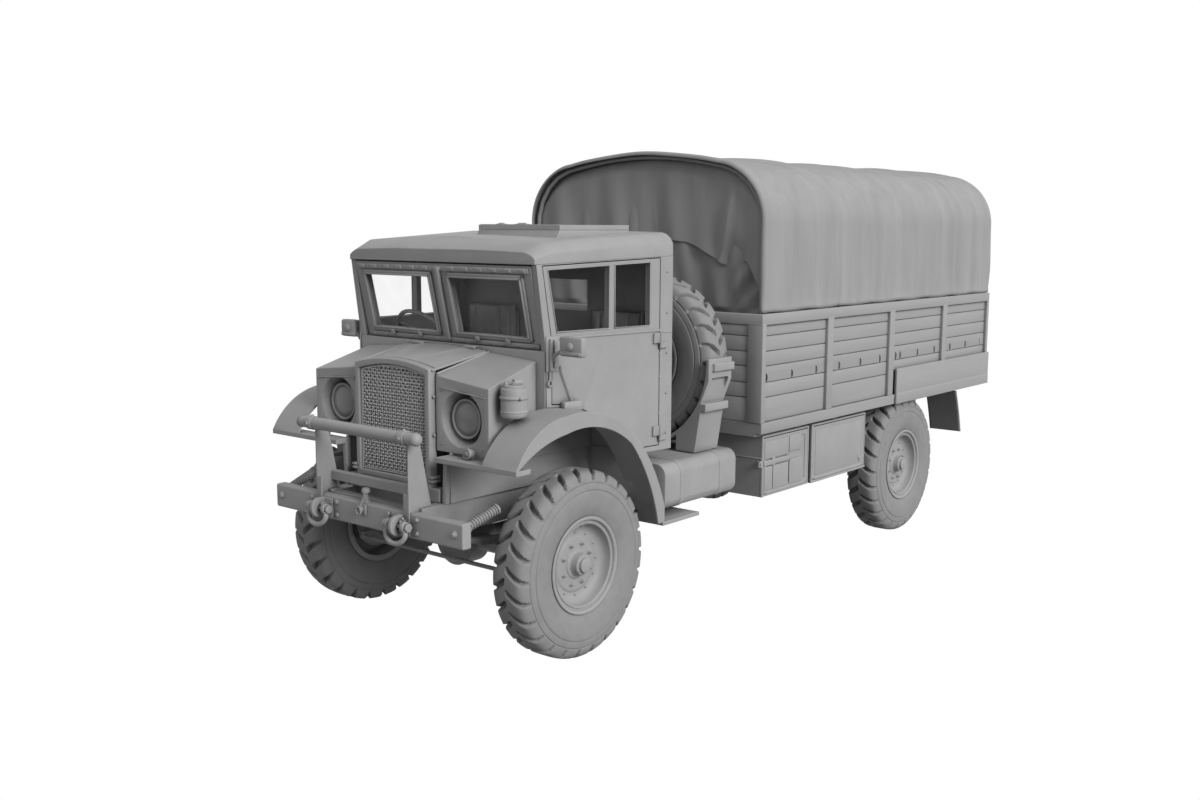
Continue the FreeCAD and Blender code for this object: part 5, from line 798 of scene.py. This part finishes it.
def make_screens():
    """The two windscreen frames with their clamps, and the riveted strips above and below them."""
    foot, head = Vector((0, -2.41, 1.775)), Vector((0, -2.52, 2.262))
    rise = (head - foot).normalized()
    out = Vector((0, -rise.z, rise.y))
    matrix = Matrix.Translation(foot) @ Matrix((Vector(OUT), rise, out)).transposed().to_4x4()
    work = Work()
    inner, outer, sill, top, half = 0.062, 0.69, 0.046, 0.438, 0.735
    rivets, pitch, strips, clamps = 13, 0.115, ((0.446, 0.478), (0.006, 0.036)), (-0.5, -0.25, 0.25, 0.5)
    for side in (-1, 1):
        low_x, high_x = sorted((side * inner, side * outer))
        for wide, lift, step in ((0.02, 0.012, 0), (0.01, 0.02, 0.01)):
            inset = 0.016 - wide * 0.8 + step
            x0, x1, y0, y1 = low_x + inset, high_x - inset, sill + inset, top - inset
            for left, right, low, high in ((x0, x1, y0, y0 + wide), (x0, x1, y1 - wide, y1),
                                           (x0, x0 + wide, y0, y1), (x1 - wide, x1, y0, y1)):
                work.bar((left, low, 0), (right, high, lift), matrix=matrix)
    work.bar((-0.016, 0.02, 0), (0.016, 0.47, 0.022), 0.005, matrix)
    for low, high in strips:
        work.bar((-half, low, 0), (half, high, 0.008), matrix=matrix)
    for index in range(rivets):
        x = -0.69 + index * pitch
        work.bar((x - 0.026, 0.45, 0.006), (x + 0.026, 0.472, 0.013), matrix=matrix)
        between = x + 0.057 if index < rivets - 1 else x
        work.bolt(matrix @ Vector((between, 0.461, 0.008)), out)
        work.bolt(matrix @ Vector((x, 0.02, 0.008)), out, 0.007, 0.005)
    for x in clamps:
        work.bar((x - 0.016, 0.03, 0.006), (x + 0.016, 0.062, 0.022), 0.004, matrix)
    work.piece("windscreen_frames")


def make_mirrors():
    """The boxed mirrors on cast brackets at the doors' front edges, with their stay rods and hooks."""
    front, rear, hook = -2.45, -2.398, Vector((0.012, -1.026, 1.594))
    for (side, name), start, end in zip(SIDES, (0.905, 0.862), (1.072, 1.0)):
        matrix = side_matrix(side)
        case, glass = Work(), Work()
        case.bar((start, front, 1.758), (end, rear, 1.868), 0.016)
        boss = [(0, 0), (0, 0.022), (0.008, 0.022), (0.014, 0.014), (0.016, 0)]
        case.spun(boss, ((start + end) / 2, front, 1.815), FORWARD, 22)
        case.bar((start + 0.01, front - 0.006, 1.766), (end - 0.01, front + 0.002, 1.784))
        arm = [(0.826, -2.41, 1.725), (0.846, -2.42, 1.755), (start + 0.01, -2.424, 1.79)]
        case.pipe(through(arm, 9), 0.011, 12)
        glass.bar((start + 0.009, rear - 0.002, 1.766), (end - 0.009, rear + 0.003, 1.86), 0.001)
        case.flipped(side)
        case.bar((0, -1.05, 1.662), (0.008, -0.958, 1.86), matrix=matrix)
        case.bar((0.004, -1.034, 1.668), (0.026, -1.016, 1.848), 0.005, matrix)
        case.bar((0.004, -0.998, 1.68), (0.018, -0.978, 1.84), 0.005, matrix)
        for z in (1.68, 1.842):
            case.bolt(matrix @ Vector((0.008, -1.006, z)), matrix.to_3x3() @ Vector(OUT), 0.006, 0.005)
        case.rod(matrix @ (hook + Vector((0, 0, 0.07))), matrix @ (hook + Vector((0, 0, 0.018))), 0.0075)
        ring = loop(hook, (0, 0.015, 0), (0, 0, 0.017), 18)
        case.pipe([matrix @ point for point in ring], 0.0048, 9, closed=True)
        stay = ((0.014, -0.946, 1.69), (0.014, -0.94, 1.655), (0.016, -0.862, 1.478))
        case.pipe([matrix @ Vector(point) for point in stay], 0.0042, 8)
        case.bar((0, -0.944, 1.408), (0.046, -0.806, 1.482), 0.012, matrix)
        case.piece("mirror_" + name, "door_" + name)
        glass.flipped(side).piece("mirror_glass_" + name, "door_" + name, material=LENS)


def make_roof_details():
    """The hatch's two low handles on their pads, and the bead along its front edge."""
    low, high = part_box("hatch_lid")
    pad_low, pad_high = high.z - 0.002, high.z + 0.006
    work = Work()
    for x, wide in ((low.x + 0.155, 0.03), (low.x + 0.33, 0.044)):
        work.bar((x - wide, low.y + 0.04, pad_low), (x + wide, low.y + 0.085, pad_high), 0.002)
        grip, y = wide * 0.8, low.y + 0.062
        work.rod((x - grip, y, pad_high), (x + grip, y, pad_high), 0.006)
    work.bar((low.x + 0.02, low.y + 0.012, pad_low), (high.x - 0.02, low.y + 0.02, high.z + 0.003), 0.001)
    work.piece("hatch_fittings", "hatch_lid")


# Cargo body
RAIL_LOW, WALL_INNER, PLANK_FACE, HEAD_EDGE = 1.825, 1.0, 1.034, 0.94
SIDE_LIE = Matrix(((0, 0, 1, 0), (1, 0, 0, 0), (0, 1, 0, 0), (0, 0, 0, 1)))


def make_planked_body():
    """The body's sides and headboard: boards with open joints between posts, rails and the rear valance."""
    joints = (1.165, 1.333, 1.435, 1.546, 1.646, 1.75, 1.826)
    slots = (-0.488, -0.157, 0.176, 0.51, 0.836, 1.152, 1.42, 1.496, 1.808, 2.125, 2.431, 2.75, 3.06)
    posts = ((BODY_FRONT, 0.04), (0.293, 0.082), (1.262, 0.082), (2.225, 0.082), (BODY_REAR - 0.04, 0.04))
    base, slot_low, slot_high, slot_half, board, gap = joints[0], 1.438, 1.496, 0.0055, 0.016, 0.0028
    front, rear, rail_foot, valance_front = BODY_FRONT, BODY_REAR, RAIL_LOW + 0.01, 1.376
    boards = [(foot + gap, head - gap) for foot, head in zip(joints[:-1], joints[1:])]
    work = Work()
    work.bar((WALL_INNER, front + 0.004, base), (PLANK_FACE - 0.012, rear - 0.004, rail_foot), 0.002)
    for low, high in boards:
        outline = [(front, low)]
        if low < slot_low < high:
            for y in slots:
                outline += [(y - slot_half, low), (y - slot_half, slot_high), (y + slot_half, slot_high),
                            (y + slot_half, low)]
        outline += [(rear - 0.002, low), (rear - 0.002, high), (front, high)]
        work.plate(outline, board, Matrix.Translation((PLANK_FACE - board, 0, 0)) @ SIDE_LIE, 0.0022)
    for start, wide in posts:
        work.bar((PLANK_FACE - 0.01, start, base), (BODY_HALF - 0.0004, start + wide, rail_foot), 0.004)
    rope = [(-0.002, 0.004, slot_high - 0.004), (0.006, 0.006, slot_high - 0.012),
            (0.006, 0.006, slot_low + 0.016), (-0.002, 0.004, slot_low + 0.01)]
    for y in slots[:-1]:
        work.pipe(through([(PLANK_FACE + out, y + on, z) for out, on, z in rope], 9), 0.003, 8)
    work.bar((WALL_INNER - 0.003, front, RAIL_LOW), (BODY_HALF, rear, SIDE_TOP), 0.006)
    work.bar((HEAD_EDGE, front - 0.008, base), (BODY_HALF - 0.0006, front + 0.03, rail_foot), 0.004)
    work.bar((BODY_HALF - 0.006, valance_front, 1.089), (BODY_HALF + 0.018, rear - 0.001, 1.37), 0.005)
    work.bar((BODY_HALF + 0.012, valance_front + 0.004, 1.09), (BODY_HALF + 0.02, rear - 0.004, 1.17), 0.002)
    work.mirror()
    for low, high in boards:
        work.bar((-HEAD_EDGE - 0.006, front, low), (HEAD_EDGE + 0.006, front + 0.02, high), 0.0022)
    work.bar((-WALL_INNER, front + 0.014, base), (WALL_INNER, front + 0.034, rail_foot), 0.002)
    half = BODY_HALF - 0.004
    work.bar((-half, front - 0.008, RAIL_LOW), (half, front + 0.037, SIDE_TOP - 0.0005), 0.005)
    work.piece("planked_body", slot="painted_timber", replaced=("cargo_sides",))


def make_locker_trim(name, side):
    """The front locker door's panels, strap and buckle, and the rear one's panel and catch."""
    front, rear = Work(), Work()
    panels = (((-0.464, 0.9), (-0.154, 1.022)), ((-0.145, 0.912), (0.014, 1.03)),
              ((-0.464, 0.68), (-0.364, 0.846)), ((-0.355, 0.68), (-0.154, 0.846)))
    strap, buckle = ((-0.474, 0.852), (-0.15, 0.89)), ((-0.372, 0.846), (-0.336, 0.902))
    tongue = ((-0.346, 0.856), (-0.2, 0.886))
    catch, bar = ((0.88, 0.7), (0.902, 0.745)), ((0.868, 0.716), (0.912, 0.728))

    def raised(work, low, high, proud, soft):
        """A bar on a door's face between (along, up) corners."""
        work.bar((LOCKER_FACE - 0.004, *low), (LOCKER_FACE + proud, *high), soft)

    for low, high in panels:
        raised(front, low, high, 0.01, 0.0015)
    foot, left, right, shoulder, bend = 0.68, -0.11, -0.002, 0.828, 0.03
    angles = np.linspace(0, pi / 2, 7)
    arch = [(left - bend, foot), (right + bend, foot)]
    arch += [(right + bend * cos(a), shoulder + bend * sin(a)) for a in angles]
    arch += [(left - bend * sin(a), shoulder + bend * cos(a)) for a in angles]
    front.plate(arch, 0.012, Matrix.Translation((LOCKER_FACE - 0.002, 0, 0)) @ SIDE_LIE, 0.0015)
    raised(front, *strap, 0.012, 0.003)
    raised(front, *buckle, 0.016, 0.005)
    raised(front, *tongue, 0.015, 0.004)
    front.flipped(side).piece("locker_front_trim_" + name, "locker_door_%s_front" % name)
    low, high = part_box("locker_door_%s_rear" % name)
    raised(rear, (low.y + 0.03, low.z + 0.03), (high.y - 0.04, high.z - 0.03), 0.009, 0.0015)
    raised(rear, *catch, 0.016, 0.004)
    raised(rear, *bar, 0.018, 0.003)
    rear.flipped(side).piece("locker_rear_trim_" + name, "locker_door_%s_rear" % name)


def make_locker_fittings():
    """The locker doors' trim, the strap's end at the front, and the lockers' edges."""
    for side, name in SIDES:
        make_locker_trim(name, side)
    edges = Work()
    edges.bar((0.985, -0.512, 0.848), (1.024, -0.49, 0.894), 0.006)
    edges.pipe(through([(1.018, -0.5, 0.886), (1.024, -0.52, 0.892), (1.02, -0.534, 0.876),
                        (1.012, -0.526, 0.858), (1.016, -0.5, 0.856)], 16), 0.006)
    edges.bar((0.6, -0.5, 0.905), (1.016, -0.494, 0.914), 0.002)
    for front, rear in ((-0.4955, -0.48), (0.164, 0.186)):
        edges.bar((1.0, front, 0.64), (1.0235, rear, 1.062))
    edges.bar((0.996, 0.164, 0.636), (1.026, 0.982, 0.652))
    edges.mirror().piece("locker_edges")


# Canvas
HALF = 1.042
HAUNCH = 2.48
CORNER = 0.66
CORNER_TOP = 2.918
CORNER_RADIUS = 0.42
CROWN = 0.072
CROWN_RADIUS = (CORNER ** 2 + CROWN ** 2) / (2 * CROWN)


def arc_centre(start, end, radius):
    """The centre of an arc from start to end, on the left of that way."""
    start, end = np.array(start), np.array(end)
    chord = end - start
    long = np.linalg.norm(chord)
    side = np.array([-chord[1], chord[0]]) / long
    return (start + end) / 2 + side * sqrt(radius ** 2 - long ** 2 / 4)


def arc_points(start, end, radius, count):
    """Points of an arc from start to end."""
    centre = arc_centre(start, end, radius)
    first = atan2(start[1] - centre[1], start[0] - centre[0])
    last = atan2(end[1] - centre[1], end[0] - centre[0])
    turns = np.linspace(first, last, count)
    return np.stack([centre[0] + radius * np.cos(turns), centre[1] + radius * np.sin(turns)], axis=1)


def canopy_arch(foot):
    """The canopy's outline seen from the front, from the left foot over the crown to the right one."""
    side = np.stack([np.full(22, HALF), np.linspace(foot, HAUNCH, 22)], axis=1)
    corner = arc_points((HALF, HAUNCH), (CORNER, CORNER_TOP), CORNER_RADIUS, 22)
    crown = arc_points((CORNER, CORNER_TOP), (-CORNER, CORNER_TOP), CROWN_RADIUS, 44)
    half = np.vstack([side[:-1], corner[:-1], crown[:22]])
    return np.vstack([half, [[0, CORNER_TOP + CROWN]], half[::-1] * (-1, 1)])


def canopy_relief(along, up, long, bows):
    """How far the canopy stands out of its arch, by the way along it and the way up from its nearer foot."""
    gap = np.min(np.abs(along - bows), axis=1, keepdims=True)
    sag = 0.011 * smooth(0.05, 0.5, gap)
    on_top = smooth(0.3, 0.75, up)
    push = -sag * (0.35 + 0.65 * on_top)
    folds = 0.007 * np.sin(along * 21 + 1.7 * np.sin(along * 3.1))
    folds = folds + 0.005 * np.sin(along * 37 + 2.2 * np.sin(along * 1.9))
    push = push + folds * (0.35 + 0.65 * (1 - on_top)) * smooth(0, 0.25, up)
    push = push + 0.0022 * np.sin(along * 9 - up * 5) + 0.0016 * np.sin(along * 5 + up * 11)
    for seam in (bows[1], bows[3]):
        lap = smooth(-0.022, -0.016, along - seam) - smooth(0.016, 0.022, along - seam)
        push = push + 0.0046 * lap - 0.0045 * bell(along - seam + 0.026, 0.005)
    hoop = bell(along - 0.03, 0.03) + bell(long - 0.03 - along, 0.03)
    curl = np.maximum(0, 1 - along / 0.022) + np.maximum(0, 1 - (long - along) / 0.022)
    hem = 1 - smooth(0.03, 0.036, up)
    return push + 0.006 * hoop - 0.02 * curl ** 2 + 0.0035 * hem


def make_canopy():
    """The canopy's outer sheet, drawn over five bows, with its seams, lapped hem and wrinkles."""
    rows, bow_radius, bow_foot = 300, 0.016, 1.86
    arch = canopy_arch(SIDE_TOP + 0.003)
    tangent = np.gradient(arch, axis=0)
    out = np.stack([tangent[:, 1], -tangent[:, 0]], axis=1)
    out /= np.linalg.norm(out, axis=1, keepdims=True)
    run = lengths(arch)
    up = np.minimum(run, run[-1] - run)
    long = BODY_REAR - BODY_FRONT
    along = np.linspace(0, long, rows)[:, None]
    bows = np.array([0.02, 1.055, 2.06, 3.065, long - 0.02])
    push = canopy_relief(along, up, long, bows)
    x = arch[:, 0] + out[:, 0] * push
    scallop = 0.007 * (0.5 + 0.5 * np.sin(along * TAU / 0.47))
    z = arch[:, 1] + out[:, 1] * push + scallop * (1 - smooth(0, 0.12, up))
    y = np.broadcast_to(BODY_FRONT + along, x.shape)
    mesh = grid_mesh("canopy_sheet", np.stack([x, y, z], axis=-1))
    cloth = dress("canopy_sheet", mesh, "chassis", "canvas", ("canopy",))
    thickened(cloth, 0.004, -1 if mesh.polygons[rows * 30].normal.x > 0 else 1)
    work = Work()
    for at in bows[1:-1].tolist() + [0.05, long - 0.05]:
        path = [(x * 0.965, BODY_FRONT + at, bow_foot + (z - bow_foot) * 0.972) for x, z in arch[::4]]
        work.pipe(path, bow_radius)
    work.piece("canopy_bows", slot="chassis_paint")


def inside_top(x, inset):
    """The canopy's inner height above a place across the truck."""
    x = np.abs(x)
    top = CORNER_TOP + CROWN - CROWN_RADIUS + np.sqrt(CROWN_RADIUS ** 2 - np.minimum(x, CORNER) ** 2)
    centre = arc_centre((HALF, HAUNCH), (CORNER, CORNER_TOP), CORNER_RADIUS)
    corner = centre[1] + np.sqrt(np.maximum(CORNER_RADIUS ** 2 - (x - centre[0]) ** 2, 0))
    return np.where(x < CORNER, top, corner) - inset


def hung(name, x, y, z):
    """A thin cloth from the grid of its places."""
    mesh = grid_mesh(name, np.stack([np.broadcast_to(x, z.shape), y, z], axis=-1))
    cloth = dress(name, mesh, "chassis", "canvas")
    thickened(cloth, 0.003)
    return cloth


def make_curtain():
    """The curtain that closes the canopy's front, set back, with its loose flap and gathered folds."""
    half, base, place, columns, rows = HALF - 0.03, SIDE_TOP - 0.01, BODY_FRONT + 0.1, 170, 110
    x = np.linspace(-half, half, columns)
    level = np.linspace(0, 1, rows)[:, None]
    top = np.maximum(inside_top(x, 0.045), base + 0.4)
    at_sides = 1 - smooth(0.93, 1.0, np.abs(x) / half)
    z = base + (top - base) * level
    fold = 0.02 * np.sin(x * 13 + 1.4 * np.sin(z * 4.1) + 0.6)
    fold = fold + 0.011 * np.sin(x * 29 + 2.0 * np.sin(z * 3.0))
    gather = 0.022 * np.sin((x * 0.8 - z * 0.55) * 46) * bell(x - 0.86, 0.13) * bell(z - 2.07, 0.12)
    belly = 0.02 * np.sin(np.pi * level) * (1 - (x / half) ** 2)
    fade = smooth(0, 0.05, level) * (1 - smooth(0.9, 1.0, level)) * at_sides
    y = place + (fold * (0.4 + 0.6 * (1 - level)) - gather - belly) * fade
    cloth = hung("front_curtain", x, y, z)

    hem = through([(-half, 2.3), (-0.6, 2.34), (-0.15, 2.4), (0.295, 2.375), (0.449, 2.342), (0.684, 2.218),
                   (0.78, 2.222), (0.861, 2.242), (0.93, 2.15), (0.985, 2.06)], 260)
    foot = np.interp(x, hem[:, 0], hem[:, 1])
    z = foot + (top - 0.004 - foot) * level
    fold = 0.017 * np.sin(x * 11 + 1.2 * np.sin(z * 3.0)) + 0.009 * np.sin(x * 24 + z * 2)
    crease = -0.034 * bell(x - 0.66 - 0.22 * (z - 2.25), 0.04) * (1 - smooth(0.55, 0.95, level))
    pinch = 0.03 * bell(x - 0.8, 0.1) * bell(z - 2.26, 0.1)
    fade = (1 - smooth(0.85, 1.0, level)) * at_sides
    lift = 0.03 * smooth(0.8, 1.0, level)
    y = place - 0.034 + (fold * (0.3 + 0.7 * (1 - level)) + crease + pinch) * fade + lift
    flap = hung("front_flap", x, y, z)


def make_flaps():
    """The rubber mudflaps, gently bowed."""
    low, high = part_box("mudflaps")
    inner, outer, head, start, end, bow = 0.734, 1.02, high.z - 0.004, low.y + 0.004, high.y - 0.014, 0.012
    level = np.linspace(0, 1, 30)[:, None]
    x = np.linspace(inner, outer, 16) + 0 * level
    z = head + (low.z - head) * level + 0 * x
    y = start + (end - start) * level + bow * np.sin(np.pi * level) * np.cos((x - (inner + outer) / 2) * 6)
    for side, name in SIDES:
        mesh = grid_mesh("mudflap", np.stack([side * x, y, z], axis=-1))
        made = dress("mudflap_" + name, mesh, "chassis", "flap_rubber", ("mudflaps",) if side > 0 else ())
        thickened(made, 0.01, 0)


# Seats
def cushion(low, high, axis):
    """A crowned, closed pad: sides pulled in between corners, sewn channels across its broad face."""
    crown, channels, seam_wide, seam_deep = 0.016, 5, 0.035, 0.012
    size, middle = Vector(high) - Vector(low), (Vector(low) + Vector(high)) / 2
    first, second = (i for i in range(3) if i != axis)
    seams = [-1 + 2 * index / channels for index in range(1, channels)]
    made = bmesh.new()
    bmesh.ops.create_cube(made, size=1)
    bmesh.ops.subdivide_edges(made, edges=made.edges[:], cuts=23, use_grid_fill=True)
    for vert in made.verts:
        place = vert.co * 2
        shape = place.copy()
        thin = place[axis]
        for i, other in ((first, second), (second, first)):
            pull = 1 - 0.02 * (1 - place[other] ** 2)
            narrow = sqrt(1 - 0.1 * thin ** 2) * pull
            shape[i] = place[i] * narrow * sqrt(1 - 0.05 * place[other] ** 2 * abs(place[i]) ** 6)
        edge = max(abs(place[first]), abs(place[second]))
        rise = (1 - place[first] ** 2) * (1 - place[second] ** 2)
        sewn = max(exp(-((place[first] - at) / seam_wide) ** 2) for at in seams)
        puff = crown * rise ** 0.45 - crown - seam_deep * sewn * (edge < 0.97)
        shape[axis] = thin * (1 - 0.1 * edge ** 8) + (thin > 0.5) * 2 * puff / size[axis]
        vert.co = Vector([shape[i] * size[i] / 2 for i in range(3)]) + middle
    return made


def make_seats():
    """The two seats: padded squab and back with sewn channels, on their frames."""
    back_front, back_rear = -1.548, -1.452
    for side, name in SIDES:
        squab, back, stand = Work(), Work(), Work()
        squab.take(cushion((0.345, -2.075, 1.372), (0.765, -1.57, 1.486), 2))
        turn = Matrix.Translation((0, back_front + back_rear, 0)) @ Matrix.Diagonal((1, -1, 1, 1))
        back.take(cushion((0.35, back_front, 1.47), (0.76, back_rear, 1.955), 1), turn)
        stands_for = ("seats",) if side > 0 else ()
        for part, work, replaced in (("squab", squab, stands_for), ("back", back, ())):
            work.flipped(side)
            pad = work.piece("seat_%s_%s" % (part, name), slot="trim_leather", replaced=replaced, angle=50)
        stand.bar((0.5, -2.04, 1.322), (0.75, -1.58, 1.372), 0.006)
        stand.bar((0.35, -2.07, 1.362), (0.76, -1.566, 1.374), 0.004)
        stand.bar((0.35, -1.455, 1.37), (0.76, -1.45, 1.9), 0.002)
        stand.flipped(side).piece("seat_frame_" + name)


# Nodes that keep their own form
ROUNDED = {
    "front_bumper": 0.008, "tow_fittings": 0.004, "cab_front": 0.005, "cab_shell": 0.006, "door_left": 0.005,
    "door_right": 0.005, "cab_roof": 0.007, "nose_boxes": 0.01, "grille_surround": 0.008, "bonnet_lid": 0.004,
    "fenders": 0.006, "fuel_tanks": 0.006, "lockers": 0.005, "cargo_bed": 0.005, "tailgate": 0.004,
    "hatch_lid": 0.008, "spare_carrier": 0.006, "brush_guard": 0.006, "chassis_frame": 0.003,
    "locker_door_left_front": 0.003, "locker_door_left_rear": 0.003, "locker_door_right_front": 0.003,
    "locker_door_right_rear": 0.003, "dashboard": 0.008, "cab_floor": 0.004,
}


def make_rounded_forms():
    """The pressed and folded parts with their edges rounded, and every other node's own finish."""
    for name, width in ROUNDED.items():
        softened(name, width)
    for name, item in NODES.items():
        item.data.materials.clear()
        item.data.materials.append(MATERIALS[SLOT_OF[name]])


make_camera()
make_light()
make_rounded_forms()
make_wheels()
make_grille_wire()
make_lamps()
make_bumper_fittings()
make_gaiters()
make_guard_details()
make_nose_details()
make_canister()
make_cab_seams()
make_screens()
make_mirrors()
make_roof_details()
make_planked_body()
make_locker_fittings()
make_canopy()
make_curtain()
make_flaps()
make_seats()
